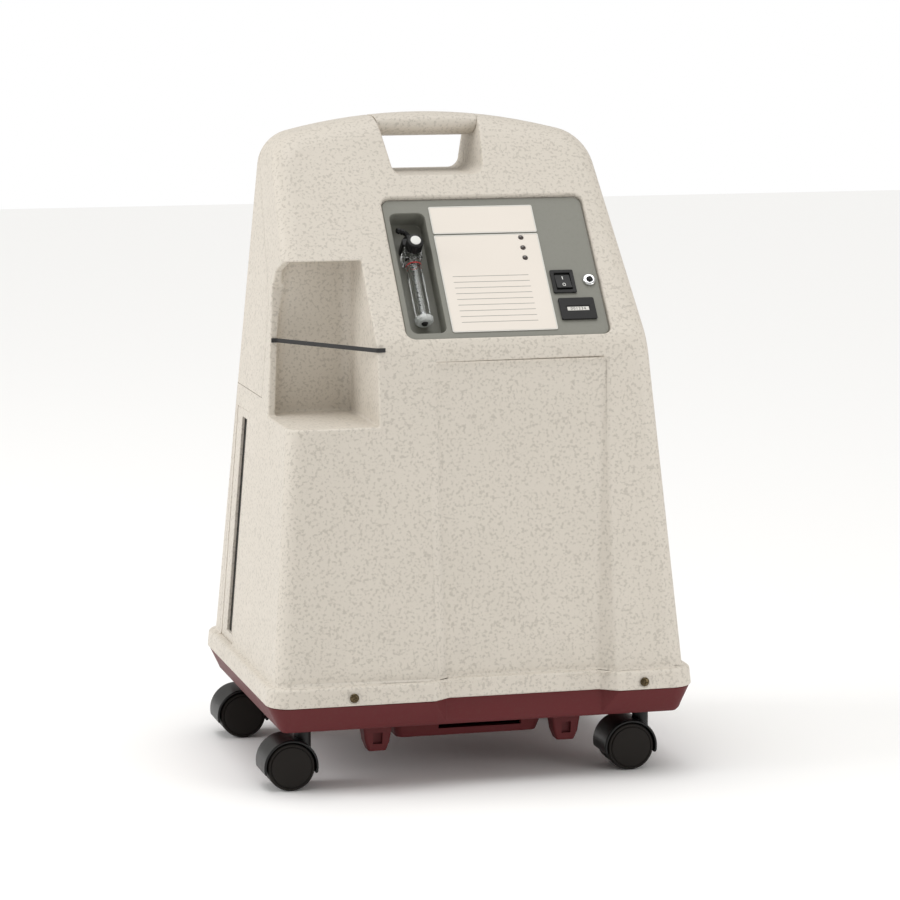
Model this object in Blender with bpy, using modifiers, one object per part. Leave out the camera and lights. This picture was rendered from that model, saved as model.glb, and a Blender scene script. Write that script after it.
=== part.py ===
"""Stationary oxygen concentrator on four twin-wheel casters.

The cabinet is one swept form, cut into a front and a rear housing that stand on a base pan.
X points right, Y back and Z up; the origin is on the floor under the centre of the lip.
All sizes are in metres.
"""
import math

import bmesh
import bpy
from mathutils import Matrix, Vector

# ---- Overall form ----
OVERALL_HEIGHT = 0.680
BASE_WIDTH = 0.456
BASE_DEPTH = 0.356
LIP_BOTTOM = 0.093
LIP_HEIGHT = 0.020
LIP = 0.0075                    # how far the lip stands out from the walls
UPPER_RISE = 0.228              # from the bend of the front up to the crown
SIDE_SETBACK = 0.04872          # how far each wall has leaned in at the crown
REAR_SETBACK = 0.04432
FRONT_SETBACK = 0.04358         # and the lower front at the bend
UPPER_RAKE = math.radians(40.8)  # upper front, measured from the vertical
BEND_RADIUS = 0.050
EDGE_RADIUS = 0.018
SHOULDER_RADIUS = 0.040
CROWN_RADIUS = 0.600
WALL = 0.003
CLEAR = 0.0003                  # gap that touching pieces keep

# ---- Seam between the two housings, in side view ----
SEAM_LOW_BACK = 0.046           # lower seam, ahead of the rear lip edge
SEAM_STEP_BELOW_BEND = 0.064
SEAM_BEHIND_RECESS = 0.003      # vertical part of the upper seam, behind the bottle recess
SEAM_RAKE_START = 0.040         # above the bend
SEAM_RAKE = 0.72                # run over rise of the slanted part

# ---- Recessed centre of the lower front ----
CENTRE_LEFT_TOP, CENTRE_LEFT_BOTTOM = -0.040, -0.036
CENTRE_RIGHT_TOP, CENTRE_RIGHT_BOTTOM = 0.1386, 0.1235
CENTRE_BEVEL_TOP, CENTRE_BEVEL_BOTTOM = 0.005, 0.018
CENTRE_DEPTH_TOP, CENTRE_DEPTH_BOTTOM = 0.0015, 0.013

# ---- Bottle recess ----
SHELF_BELOW_BEND = 0.079
RECESS_HEIGHT = 0.163
RECESS_DEPTH = 0.136
RECESS_RIGHT = -0.102
RECESS_SIDE_WALL = 0.0085
RECESS_CORNER = 0.012
NOTCH_BACK_LOW = 0.030          # side notch, ahead of the recess's back wall at the shelf
NOTCH_BACK_HIGH = 0.002         # and at the top of its straight edge
NOTCH_RISE = 0.132
STRAP_HEIGHT = 0.078            # above the shelf
STRAP_WIDTH = 0.0045
STRAP_THICKNESS = 0.0015
STRAP_TAB = 0.008

# ---- Carry cut-out and bar ----
CUTOUT_HALF_TOP = 0.057
CUTOUT_HALF_BOTTOM = 0.050
CUTOUT_HEIGHT = 0.062           # below the crown
CUTOUT_CORNER = 0.012
BAR_DEPTH = 0.056
BAR_HEIGHT = 0.028
BAR_PROUD = 0.003               # of the oval above the crown, trimmed off by it

# ---- Control panel; v runs up the rake from the bend ----
PANEL_LEFT, PANEL_RIGHT = -0.069, 0.151
PANEL_LOW, PANEL_HIGH = 0.012, 0.191
PANEL_CORNER = 0.010
PANEL_RECESS = 0.0075
PANEL_THICKNESS = 0.003
PANEL_LEDGE = 0.004
POCKET_LEFT, POCKET_RIGHT = -0.062, -0.024
POCKET_LOW, POCKET_HIGH = 0.021, 0.173
POCKET_DEPTH = 0.022
POCKET_WALL = 0.0016
LABEL_LEFT, LABEL_RIGHT = -0.0185, 0.0945
LABEL_SPLIT = 0.144
LABEL_LOW, LABEL_HIGH = 0.0205, 0.180
LABEL_THICKNESS = 0.0006
LAMP_RADIUS = 0.0026
LAMP_X = 0.0755
LAMP_HEIGHTS = (0.138, 0.125, 0.112)
SWITCH_X, SWITCH_V = 0.1108, 0.080
SWITCH_WIDTH, SWITCH_HEIGHT = 0.025, 0.029
SWITCH_RIM = 0.004
ROCKER_SWING = 0.0013           # room at the rocker's ends for its turn
BREAKER_X, BREAKER_V = 0.1395, 0.081
BREAKER_RADIUS = 0.0068
METER_X, METER_V = 0.120, 0.045
METER_WIDTH, METER_HEIGHT = 0.0385, 0.027
TUBE_RADIUS = 0.0088
TUBE_LOW, TUBE_HIGH = 0.040, 0.112
TUBE_BORE = 0.0042
KNOB_RADIUS = 0.0090
KNOB_V = 0.128
KNOB_STEM_RADIUS = 0.003
HEAD_ABOVE_KNOB = 0.014

# ---- Side filters ----
FILTER_FRONT, FILTER_BACK = 0.118, 0.056    # edges, measured from the rear lip edge
FILTER_LOW = 0.020                          # above the lip bottom
FILTER_LENGTH = 0.252
FILTER_BORDER = 0.009
FILTER_GRIP = 0.024                         # wide rear border
FILTER_FRAME_DEPTH = 0.004
FILTER_SUNK = 0.0004            # outer face of the frame, below the wall's
FOAM_DEPTH = 0.009

# ---- Base pan ----
PAN_BOTTOM = 0.065
PAN_FLOOR = 0.004
PAN_RIM = 0.013                 # how far the rim reaches up inside the lip
TRAY_BOTTOM = 0.0385
TRAY_INSET_X, TRAY_INSET_Y = 0.143, 0.070    # in from the lip's edges, clear of the casters
TRAY_TAPER = 0.009
LUG_INSET_X, LUG_INSET_Y = 0.126, 0.068
LUG_BOTTOM = 0.0305
LUG_WIDTH = 0.034

# ---- Mains inlet and rear vents ----
INLET_X, INLET_Z = 0.090, 0.190
INLET_FLANGE = (0.018, 0.014)   # half width and half height
INLET_SHELL = (0.0138, 0.0098)
INLET_SOCKET = (0.0115, 0.0075)
INLET_HOLE_GAP = 0.0005
INLET_BODY_DEPTH = 0.024
INLET_SOCKET_DEPTH = 0.018
INLET_PINS = ((-0.007, -0.002), (0, 0.002), (0.007, -0.002))
VENT_ROWS = 6
VENT_PITCH = 0.016
VENT_SLOT = 0.006
VENT_LOW = 0.055                # first slot, above the lip bottom
VENT_LEFT, VENT_RIGHT = -0.150, -0.030

# ---- Housing screws ----
SCREW_SPOTS = {"front_left": (-0.140, -1), "front_right": (0.170, -1),
               "rear_left": (-0.150, 1), "rear_right": (0.150, 1)}
SCREW_HEIGHT = 0.0085           # above the lip bottom
SCREW_HEAD_RADIUS = 0.0048
SCREW_HEAD = 0.0022
SCREW_SHANK_RADIUS = 0.002
SCREW_LENGTH = 0.012

# ---- Casters ----
CASTER_INSET_X = 0.0455         # stem, in from the lip's side edge
CASTER_INSET_Y = 0.054
WHEEL_RADIUS = 0.025
WHEEL_WIDTH = 0.0195
WHEEL_GAP = 0.0065              # between the two wheels
HOOD_GAP = 0.0015
HOOD_WALL = 0.0022
TRAIL = 0.0165
AXLE_RADIUS = 0.003
AXLE_GAP = 0.00008              # running clearance in the fork
STEM_RADIUS = 0.0055
STEM_LENGTH = 0.033             # above the pan's underside

# ---- Inside ----
PLATE_GAP = 0.026               # behind the bottle recess's back wall
PLATE_THICKNESS = 0.002
PLATE_ABOVE_BEND = 0.058
PLATE_HALF_WIDTH = 0.145
BED_CLEARANCE = 0.014
COMPRESSOR_RADIUS = 0.052
COMPRESSOR_LENGTH = 0.150
FOOT_HEIGHT = 0.014
HEAD_RADIUS = 0.027
HEAD_HEIGHT = 0.052
FIN_COUNT = 3
FIN_PITCH = 0.013
TANK_RADIUS = 0.034
TANK_HEIGHT = 0.230
MANIFOLD_HEIGHT = 0.036
FAN_SIZE = 0.120
FAN_DEPTH = 0.025
FAN_BELOW_SHELF = 0.075
FAN_HUB_RADIUS = 0.019
FAN_SHAFT_RADIUS = 0.0025
FAN_BLADES = 7
FAN_BLADE_PITCH = math.radians(32)
MUFFLER_RADIUS, MUFFLER_HEIGHT = 0.016, 0.050
INTAKE_RADIUS, INTAKE_HEIGHT = 0.020, 0.038
COIL_TUBE_RADIUS = 0.0045
COIL_RUNS = 6
COIL_PITCH = 0.018
COIL_HALF_WIDTH = 0.044
BOARD_LEFT, BOARD_RIGHT = -0.060, 0.120
BOARD_ABOVE_SHELF = 0.022
BOARD_HEIGHT = 0.085
BOARD_STANDOFF = 0.010
BOARD_THICKNESS = 0.0016

# ---- Derived levels ----
LIP_TOP = LIP_BOTTOM + LIP_HEIGHT
BEND_HEIGHT = OVERALL_HEIGHT - UPPER_RISE
SIDE_DRAFT = SIDE_SETBACK / (OVERALL_HEIGHT - LIP_BOTTOM)      # run over rise
REAR_DRAFT = REAR_SETBACK / (OVERALL_HEIGHT - LIP_BOTTOM)
FRONT_DRAFT = FRONT_SETBACK / (BEND_HEIGHT - LIP_BOTTOM)
SHELF = BEND_HEIGHT - SHELF_BELOW_BEND
FLOOR = PAN_BOTTOM + PAN_FLOOR
TRAY_HALF_WIDTH = BASE_WIDTH / 2 - TRAY_INSET_X
TRAY_HALF_DEPTH = BASE_DEPTH / 2 - TRAY_INSET_Y
LUG_X, LUG_Y = BASE_WIDTH / 2 - LUG_INSET_X, -BASE_DEPTH / 2 + LUG_INSET_Y
FAR = 0.4                       # reach of cutters that pass right through

COLOURS = {
    "beige": ((0.72, 0.69, 0.60), 0.45, 0.0),
    "burgundy": ((0.20, 0.045, 0.05), 0.45, 0.0),
    "grey": ((0.24, 0.24, 0.21), 0.5, 0.0),
    "black": ((0.02, 0.02, 0.02), 0.4, 0.0),
    "label": ((0.78, 0.72, 0.66), 0.4, 0.0),
    "clear": ((0.85, 0.9, 0.9), 0.1, 0.0),
    "chrome": ((0.8, 0.8, 0.8), 0.15, 1.0),
    "alloy": ((0.6, 0.61, 0.62), 0.35, 1.0),
    "brass": ((0.5, 0.38, 0.16), 0.3, 1.0),
    "copper": ((0.6, 0.3, 0.18), 0.3, 1.0),
    "foam": ((0.03, 0.03, 0.03), 0.95, 0.0),
    "board": ((0.03, 0.16, 0.06), 0.5, 0.0),
    "rubber": ((0.03, 0.03, 0.028), 0.6, 0.0),
}


# ---------------------------------------------------------------- tools

def material(name):
    """Return the shared material of that name, made on first use."""
    if name in bpy.data.materials:
        return bpy.data.materials[name]
    colour, roughness, metallic = COLOURS[name]
    made = bpy.data.materials.new(name)
    made.use_nodes = True
    shader = made.node_tree.nodes["Principled BSDF"]
    shader.inputs["Base Color"].default_value = (*colour, 1)
    shader.inputs["Roughness"].default_value = roughness
    shader.inputs["Metallic"].default_value = metallic
    return made


def place(name, mesh, finish=None, parent=None, smooth=True):
    """Put a mesh in the scene as a piece, or as a cutter when it has no finish."""
    piece = bpy.data.objects.new(name, mesh)
    if finish:
        mesh.materials.append(material(finish))
        bpy.data.collections["oxygen_concentrator"].objects.link(piece)
    else:
        bpy.data.collections["cutters"].objects.link(piece)
        piece.hide_render = True
        piece.display_type = "WIRE"
    if smooth:
        mesh.shade_smooth()
        mesh.set_sharp_from_angle(angle=math.radians(35))
    piece.parent = parent
    return piece


def finish_mesh(name, work):
    """Turn a bmesh into a mesh with its normals facing out."""
    bmesh.ops.remove_doubles(work, verts=work.verts, dist=1e-6)
    bmesh.ops.recalc_face_normals(work, faces=work.faces)
    mesh = bpy.data.meshes.new(name)
    work.to_mesh(mesh)
    work.free()
    return mesh


def empty(name, location, rotation=(0, 0, 0), parent=None):
    """A guide that carries pieces at a joint or on a tilted face."""
    guide = bpy.data.objects.new(name, None)
    guide.location = location
    guide.rotation_euler = rotation
    guide.parent = parent
    bpy.data.collections["oxygen_concentrator"].objects.link(guide)
    return guide


def box_mesh(name, low, high):
    """A box between two corners."""
    low, high = Vector(low), Vector(high)
    work = bmesh.new()
    bmesh.ops.create_cube(work, size=1)
    bmesh.ops.scale(work, vec=high - low, verts=work.verts)
    bmesh.ops.translate(work, vec=(low + high) / 2, verts=work.verts)
    return finish_mesh(name, work)


def rod_mesh(name, radius, start, end, segments=24, end_radius=None):
    """A round bar or cone between two points."""
    start, end = Vector(start), Vector(end)
    run = end - start
    work = bmesh.new()
    bmesh.ops.create_cone(work, cap_ends=True, segments=segments, radius1=radius,
                          radius2=radius if end_radius is None else end_radius, depth=run.length)
    turn = run.to_track_quat("Z", "Y").to_matrix().to_4x4()
    bmesh.ops.transform(work, matrix=Matrix.Translation((start + end) / 2) @ turn, verts=work.verts)
    return finish_mesh(name, work)


def loft_mesh(name, rings):
    """A solid through rings that have the same number of points."""
    work = bmesh.new()
    rows = [[work.verts.new(point) for point in ring] for ring in rings]
    count = len(rows[0])
    for low, high in zip(rows, rows[1:]):
        for i in range(count):
            j = (i + 1) % count
            work.faces.new((low[i], low[j], high[j], high[i]))
    work.faces.new(list(reversed(rows[0])))
    work.faces.new(rows[-1])
    bmesh.ops.remove_doubles(work, verts=work.verts, dist=1e-6)
    bmesh.ops.dissolve_degenerate(work, edges=work.edges, dist=1e-6)
    return finish_mesh(name, work)


def prism_mesh(name, outline, axis, start, end):
    """An outline in the plane across an axis, extruded along it."""
    spots = {"X": lambda a, b, t: (t, a, b), "Y": lambda a, b, t: (a, t, b),
             "Z": lambda a, b, t: (a, b, t)}[axis]
    work = bmesh.new()
    face = work.faces.new([work.verts.new(spots(a, b, start)) for a, b in outline])
    grown = bmesh.ops.extrude_face_region(work, geom=[face])
    moved = [item for item in grown["geom"] if isinstance(item, bmesh.types.BMVert)]
    bmesh.ops.translate(work, vec=spots(0, 0, end - start), verts=moved)
    return finish_mesh(name, work)


def rounded(low_a, high_a, low_b, high_b, radius, segments=4):
    """A rectangle's outline with round corners."""
    points = []
    corners = ((high_a - radius, high_b - radius, 0), (low_a + radius, high_b - radius, 90),
               (low_a + radius, low_b + radius, 180), (high_a - radius, low_b + radius, 270))
    for centre_a, centre_b, first in corners:
        for step in range(segments + 1):
            angle = math.radians(first + 90 * step / segments)
            points.append((centre_a + radius * math.cos(angle), centre_b + radius * math.sin(angle)))
    return points


def turned_piece(name, profile, finish, parent, steps=32, axis="Z"):
    """A piece turned from (radius, height) points that run down its outer side."""
    work = bmesh.new()
    spots = [work.verts.new((radius, 0, height)) for radius, height in profile]
    for a, b in zip(spots, spots[1:]):
        work.edges.new((a, b))
    mesh = bpy.data.meshes.new(name)
    work.to_mesh(mesh)
    work.free()
    piece = place(name, mesh, finish, parent, smooth=False)
    screw = piece.modifiers.new("turn", "SCREW")
    screw.steps = screw.render_steps = steps
    screw.use_merge_vertices = True
    screw.merge_threshold = 0.00001
    screw.use_smooth_shade = True
    if axis == "Y":
        piece.rotation_euler = (math.radians(90), 0, 0)
    return piece


def cut(piece, cutter, operation="DIFFERENCE"):
    """Add a Boolean with another object."""
    boolean = piece.modifiers.new(cutter.name, "BOOLEAN")
    boolean.operation = operation
    boolean.object = cutter
    return piece


def bevel(piece, width, segments=2, angle=35):
    """Round the edges sharper than an angle."""
    edge = piece.modifiers.new("edges", "BEVEL")
    edge.width = width
    edge.segments = segments
    edge.limit_method = "ANGLE"
    edge.angle_limit = math.radians(angle)
    return piece


def box_piece(name, low, high, finish, parent=None, rounding=0.0):
    piece = place(name, box_mesh(name, low, high), finish, parent, smooth=False)
    return bevel(piece, rounding) if rounding else piece


def box_cutter(name, low, high, parent=None):
    return place(name, box_mesh(name, low, high), parent=parent, smooth=False)


def rod_cutter(name, radius, start, end, parent=None, segments=24):
    return place(name, rod_mesh(name, radius, start, end, segments), parent=parent, smooth=False)


# ---------------------------------------------------------------- cabinet form

def half_width(z):
    """Outer half width of the cabinet walls at a height, below the shoulders."""
    return BASE_WIDTH / 2 - LIP - SIDE_DRAFT * (z - LIP_BOTTOM)


def front_y(z, inset=0.0):
    """Front surface of the cabinet at a height, moved in by an inset."""
    lower_angle = math.atan(FRONT_DRAFT)
    lower = -BASE_DEPTH / 2 + LIP + FRONT_DRAFT * (z - LIP_BOTTOM) + inset / math.cos(lower_angle)
    bend_y = -BASE_DEPTH / 2 + LIP + FRONT_DRAFT * (BEND_HEIGHT - LIP_BOTTOM)
    upper = bend_y + (z - BEND_HEIGHT) * math.tan(UPPER_RAKE) + inset / math.cos(UPPER_RAKE)
    tangent = BEND_RADIUS * math.tan((UPPER_RAKE - lower_angle) / 2)
    start_z = BEND_HEIGHT - tangent * math.cos(lower_angle)
    start_y = bend_y - tangent * math.sin(lower_angle)
    centre_y = start_y + BEND_RADIUS * math.cos(lower_angle)
    centre_z = start_z - BEND_RADIUS * math.sin(lower_angle)
    radius = BEND_RADIUS - inset
    if z < centre_z + radius * math.sin(lower_angle):
        return lower
    if z > centre_z + radius * math.sin(UPPER_RAKE):
        return upper
    return centre_y - math.sqrt(radius ** 2 - (z - centre_z) ** 2)


def rear_y(z, inset=0.0):
    """Rear surface of the cabinet at a height."""
    lean = math.cos(math.atan(REAR_DRAFT))
    return BASE_DEPTH / 2 - LIP - REAR_DRAFT * (z - LIP_BOTTOM) - inset / lean


def outline_rows(inset):
    """Rows of the cabinet's front outline: x, z, inward normal, and how far the row stands out."""
    lean = math.atan(SIDE_DRAFT)
    side = (-math.cos(lean), -math.sin(lean))
    crown_centre = OVERALL_HEIGHT - CROWN_RADIUS
    foot = Vector((half_width(0), 0)) + SHOULDER_RADIUS * Vector(side)
    along = Vector((-math.sin(lean), math.cos(lean)))
    reach = foot - Vector((0, crown_centre))
    span = CROWN_RADIUS - SHOULDER_RADIUS
    half = reach.dot(along)
    travel = -half + math.sqrt(half ** 2 - reach.length_squared + span ** 2)
    centre = foot + travel * along
    first_angle = math.atan2(-side[1], -side[0])
    last_angle = math.atan2(centre.y - crown_centre, centre.x)
    shoulder_z = centre.y - SHOULDER_RADIUS * side[1]
    bottom_drop = 0.002 if inset else 0.0
    rows = [(LIP_BOTTOM - bottom_drop, LIP), (LIP_TOP - 0.0025 - inset, LIP), (LIP_TOP - inset, 0.0)]
    rows += [(LIP_TOP + (BEND_HEIGHT - LIP_TOP) * share, 0.0) for share in (0.25, 0.5, 0.75)]
    rows += [(BEND_HEIGHT + step, 0.0) for step in (-0.016, -0.008, 0.0, 0.006, 0.012)]
    rows += [(BEND_HEIGHT + (shoulder_z - BEND_HEIGHT) * share, 0.0) for share in (0.35, 0.7, 1.0)]
    result = [(half_width(z), z, -1, 0, grow) for z, grow in rows]
    steps = 4
    for step in range(1, steps + 1):
        angle = first_angle + (last_angle - first_angle) * step / steps
        normal = (math.cos(angle), math.sin(angle))
        result.append((centre.x + SHOULDER_RADIUS * normal[0], centre.y + SHOULDER_RADIUS * normal[1],
                       -normal[0], -normal[1], 0.0))
    for step in range(1, steps + 1):
        angle = last_angle + (math.pi / 2 - last_angle) * step / steps
        normal = (math.cos(angle), math.sin(angle))
        result.append((CROWN_RADIUS * normal[0], crown_centre + CROWN_RADIUS * normal[1],
                       -normal[0], -normal[1], 0.0))
    return result


def cabinet_ring(x, z, normal_x, normal_z, grow, segments=3):
    """One ring round the cabinet through an outline point."""
    radius = EDGE_RADIUS + grow
    front, rear = [], []
    for step in range(segments + 1):
        angle = math.pi / 2 * step / segments
        inward = radius * (1 - math.sin(angle)) - grow
        depth = radius * (1 - math.cos(angle))
        spot_x, spot_z = x + normal_x * inward, z + normal_z * inward
        front.append((spot_x, front_y(spot_z, -grow) + depth, spot_z))
        rear.append((spot_x, rear_y(spot_z, -grow) - depth, spot_z))
    right = front + rear[::-1]
    left = [(-a, b, c) for a, b, c in reversed(right)]
    return right + left


def cabinet_form(name, inset=0.0, finish=None):
    """The cabinet as one solid, moved in by an inset."""
    rings = [cabinet_ring(x, z, nx, nz, grow - inset) for x, z, nx, nz, grow in outline_rows(inset)]
    return place(name, loft_mesh(name, rings), finish)


def centre_recess(name, grow=0.0):
    """Cutter for the shallow centre of the lower front, deeper and wider by grow."""
    top = BEND_HEIGHT - 0.015
    rings = []
    levels = ((PAN_BOTTOM - 0.02, LIP, LIP_BOTTOM), (LIP_TOP, LIP, LIP_TOP),
              (LIP_TOP + 0.0004, 0.0, LIP_TOP), (top + grow, 0.0, top))
    for z, proud, shape_z in levels:
        share = (shape_z - LIP_BOTTOM) / (top - LIP_BOTTOM)
        left = CENTRE_LEFT_BOTTOM + (CENTRE_LEFT_TOP - CENTRE_LEFT_BOTTOM) * share - grow
        right = CENTRE_RIGHT_BOTTOM + (CENTRE_RIGHT_TOP - CENTRE_RIGHT_BOTTOM) * share + grow
        slope = CENTRE_BEVEL_BOTTOM + (CENTRE_BEVEL_TOP - CENTRE_BEVEL_BOTTOM) * share
        depth = CENTRE_DEPTH_BOTTOM + (CENTRE_DEPTH_TOP - CENTRE_DEPTH_BOTTOM) * share
        surface = front_y(z) - proud
        ahead = 0.004
        spread = slope * (depth + ahead) / depth
        floor_y = surface + depth + grow
        rings.append([(left - spread, surface - ahead, z), (right + spread, surface - ahead, z),
                      (right, floor_y, z), (left, floor_y, z)])
    return place(name, loft_mesh(name, rings), smooth=False)


def recess_back():
    return front_y(SHELF) + RECESS_DEPTH


def notch_back(z):
    """Front edge of the wall left of the bottle recess, at a height."""
    return recess_back() - NOTCH_BACK_LOW + (z - SHELF) * (NOTCH_BACK_LOW - NOTCH_BACK_HIGH) / NOTCH_RISE


def bottle_recess(name, grow=0.0):
    """Cutters for the bottle recess: the pocket, and the notch that opens it to the side."""
    ceiling = SHELF + RECESS_HEIGHT
    rings = []
    for z in (SHELF - grow, ceiling + grow):
        left = -(half_width(z) - RECESS_SIDE_WALL) - grow
        outline = rounded(left, RECESS_RIGHT + grow, -FAR, recess_back() + grow, RECESS_CORNER)
        rings.append([(a, b, z) for a, b in outline])
    pocket = place(name + "_pocket", loft_mesh(name + "_pocket", rings))
    knee = SHELF + NOTCH_RISE
    low_y, knee_y = notch_back(SHELF) + grow, notch_back(knee) + grow
    outline = [(-FAR, SHELF - grow), (low_y, SHELF - grow), (knee_y, knee),
               (knee_y - 0.012, knee + 0.019 + grow), (knee_y - 0.043, ceiling + grow), (-FAR, ceiling + grow)]
    notch = place(name + "_notch", prism_mesh(name + "_notch", outline, "X", -FAR, -0.155), smooth=False)
    return pocket, notch


def carry_cutout(name, grow=0.0, finish=None):
    """The opening round the carry bar as a solid, grown all round."""
    bottom = OVERALL_HEIGHT - CUTOUT_HEIGHT - grow
    top = OVERALL_HEIGHT + 0.02
    widen = (CUTOUT_HALF_TOP - CUTOUT_HALF_BOTTOM) / CUTOUT_HEIGHT
    half = CUTOUT_HALF_BOTTOM + grow
    outline = rounded(-half, half, bottom, top, CUTOUT_CORNER + grow)
    outline = [(x, z) for x, z in outline if z < (bottom + top) / 2]
    half_top = half + widen * (top - bottom)
    outline += [(half_top, top), (-half_top, top)]
    return place(name, prism_mesh(name, outline, "Y", -FAR, FAR), finish)


def panel_block(name, margin, low, high, panel, finish=None):
    """The panel's outline moved in by a margin, between two levels across the panel."""
    outline = rounded(PANEL_LEFT + margin, PANEL_RIGHT - margin, PANEL_LOW + margin, PANEL_HIGH - margin,
                      PANEL_CORNER - margin)
    return place(name, prism_mesh(name, outline, "Z", low, high), finish, panel)


def seam_line(shift=0.0):
    """The seam between the housings in side view, from the bottom up."""
    low_y = BASE_DEPTH / 2 - SEAM_LOW_BACK + shift
    step_z = BEND_HEIGHT - SEAM_STEP_BELOW_BEND + shift
    front = recess_back() + WALL + SEAM_BEHIND_RECESS + shift
    rake_z = BEND_HEIGHT + SEAM_RAKE_START
    top_z = OVERALL_HEIGHT + 0.05
    return [(low_y, 0), (low_y, step_z), (front, step_z), (front, rake_z),
            (front + (top_z - rake_z) * SEAM_RAKE, top_z)]


def filter_ring(z, margin, outer, inner, side, front_border=0.0, back_border=0.0):
    """A rectangle in plan at one height of a side wall, between two depths from its surface."""
    front = BASE_DEPTH / 2 - FILTER_FRONT + margin + front_border
    back = BASE_DEPTH / 2 - FILTER_BACK - margin - back_border
    x_outer, x_inner = half_width(z) - outer, half_width(z) - inner
    return [(side * x_outer, front, z), (side * x_outer, back, z),
            (side * x_inner, back, z), (side * x_inner, front, z)]


def filter_block(name, side, margin, outer, inner, borders=(0.0, 0.0, 0.0), finish=None):
    """A slab that follows a side wall: margin all round, then borders at ends, front and back."""
    low = LIP_BOTTOM + FILTER_LOW + margin + borders[0]
    high = LIP_BOTTOM + FILTER_LOW + FILTER_LENGTH - margin - borders[0]
    rings = [filter_ring(z, margin, outer, inner, side, borders[1], borders[2]) for z in (low, high)]
    return place(name, loft_mesh(name, rings), finish, smooth=False)


# ---------------------------------------------------------------- pieces

SIDES = (("left", -1), ("right", 1))


def panel_guide():
    """A frame on the sharp bend of the front: x across, y up the rake, z out of the face."""
    bend_y = -BASE_DEPTH / 2 + LIP + FRONT_DRAFT * (BEND_HEIGHT - LIP_BOTTOM)
    return empty("panel_guide", (0, bend_y, BEND_HEIGHT), (math.pi / 2 - UPPER_RAKE, 0, 0))


def screw_holes(piece, name, depth):
    """Holes for the housing screws through the lip."""
    for spot, (x, face) in SCREW_SPOTS.items():
        edge = face * BASE_DEPTH / 2
        z = LIP_BOTTOM + SCREW_HEIGHT
        cut(piece, rod_cutter(f"{name}_{spot}", SCREW_SHANK_RADIUS + CLEAR, (x, edge + face * 0.01, z),
                              (x, edge - face * depth, z), segments=16))


def rear_openings():
    """Cutters for the mains inlet and the vent slots of the rear wall."""
    half_x, half_z = INLET_SHELL[0] + INLET_HOLE_GAP, INLET_SHELL[1] + INLET_HOLE_GAP
    y = rear_y(INLET_Z)
    cutters = [box_cutter("inlet_hole", (INLET_X - half_x, y - 0.02, INLET_Z - half_z),
                          (INLET_X + half_x, y + 0.02, INLET_Z + half_z))]
    for row in range(VENT_ROWS):
        z = LIP_BOTTOM + VENT_LOW + VENT_PITCH * row
        cutters.append(box_cutter(f"vent_slot_{row + 1}", (VENT_LEFT, rear_y(z) - 0.03, z),
                                  (VENT_RIGHT, FAR, z + VENT_SLOT)))
    return cutters


def make_housings(panel):
    """Front and rear housings: the cabinet form, hollowed, and cut along the seam."""
    over = 0.03
    inner = cabinet_form("cabinet_inside", WALL)
    for cutter in (centre_recess("centre_recess_inside", WALL), *bottle_recess("recess_inside", WALL),
                   carry_cutout("carry_inside", WALL),
                   panel_block("panel_pocket_inside", -WALL, -PANEL_RECESS - WALL, over, panel)):
        cut(inner, cutter)
    cutters = [centre_recess("centre_recess"), *bottle_recess("bottle_recess"), carry_cutout("carry_opening"),
               panel_block("panel_pocket", 0, -PANEL_RECESS, over, panel), inner,
               panel_block("panel_window", PANEL_LEDGE, -0.05, 0.01, panel)]
    for side_name, side in SIDES:
        cutters.append(filter_block("filter_opening_" + side_name, side, 0, -0.01, 0.008))
    cutters += rear_openings()
    above = OVERALL_HEIGHT + 0.05
    front_outline = [(-FAR, 0)] + seam_line() + [(-FAR, above)]
    rear_outline = [(FAR, 0), (FAR, above)] + seam_line(CLEAR)[::-1]
    for name, outline in (("front_housing", front_outline), ("rear_housing", rear_outline)):
        housing = cabinet_form(name, finish="beige")
        for cutter in cutters:
            cut(housing, cutter)
        screw_holes(housing, name + "_screw_hole", 0.012)
        region = place(name + "_region", prism_mesh(name + "_region", outline, "X", -FAR, FAR), smooth=False)
        cut(housing, region, "INTERSECT")


def pan_tray():
    """Outlet tray under the pan, as a tapered solid."""
    rings = []
    for z, taper in ((TRAY_BOTTOM, TRAY_TAPER), (PAN_BOTTOM + 0.002, 0.0)):
        half_x, half_y = TRAY_HALF_WIDTH - taper, TRAY_HALF_DEPTH - taper
        rings.append([(x, y, z) for x, y in rounded(-half_x, half_x, -half_y, half_y, 0.008, 2)])
    return place("tray_form", loft_mesh("tray_form", rings), smooth=False)


def pan_lug(side_name, side):
    """Tapered lug under the front edge of the pan."""
    rings = []
    levels = ((LUG_BOTTOM, LUG_WIDTH / 3.6, 0.009), (LUG_BOTTOM + 0.010, LUG_WIDTH / 2.6, 0.011),
              (PAN_BOTTOM + 0.002, LUG_WIDTH / 2, 0.013))
    for z, half_x, half_y in levels:
        outline = rounded(-half_x, half_x, -half_y, half_y, 0.003, 2)
        rings.append([(side * LUG_X + x, LUG_Y + y, z) for x, y in outline])
    return place("lug_" + side_name, loft_mesh("lug_" + side_name, rings), smooth=False)


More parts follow.
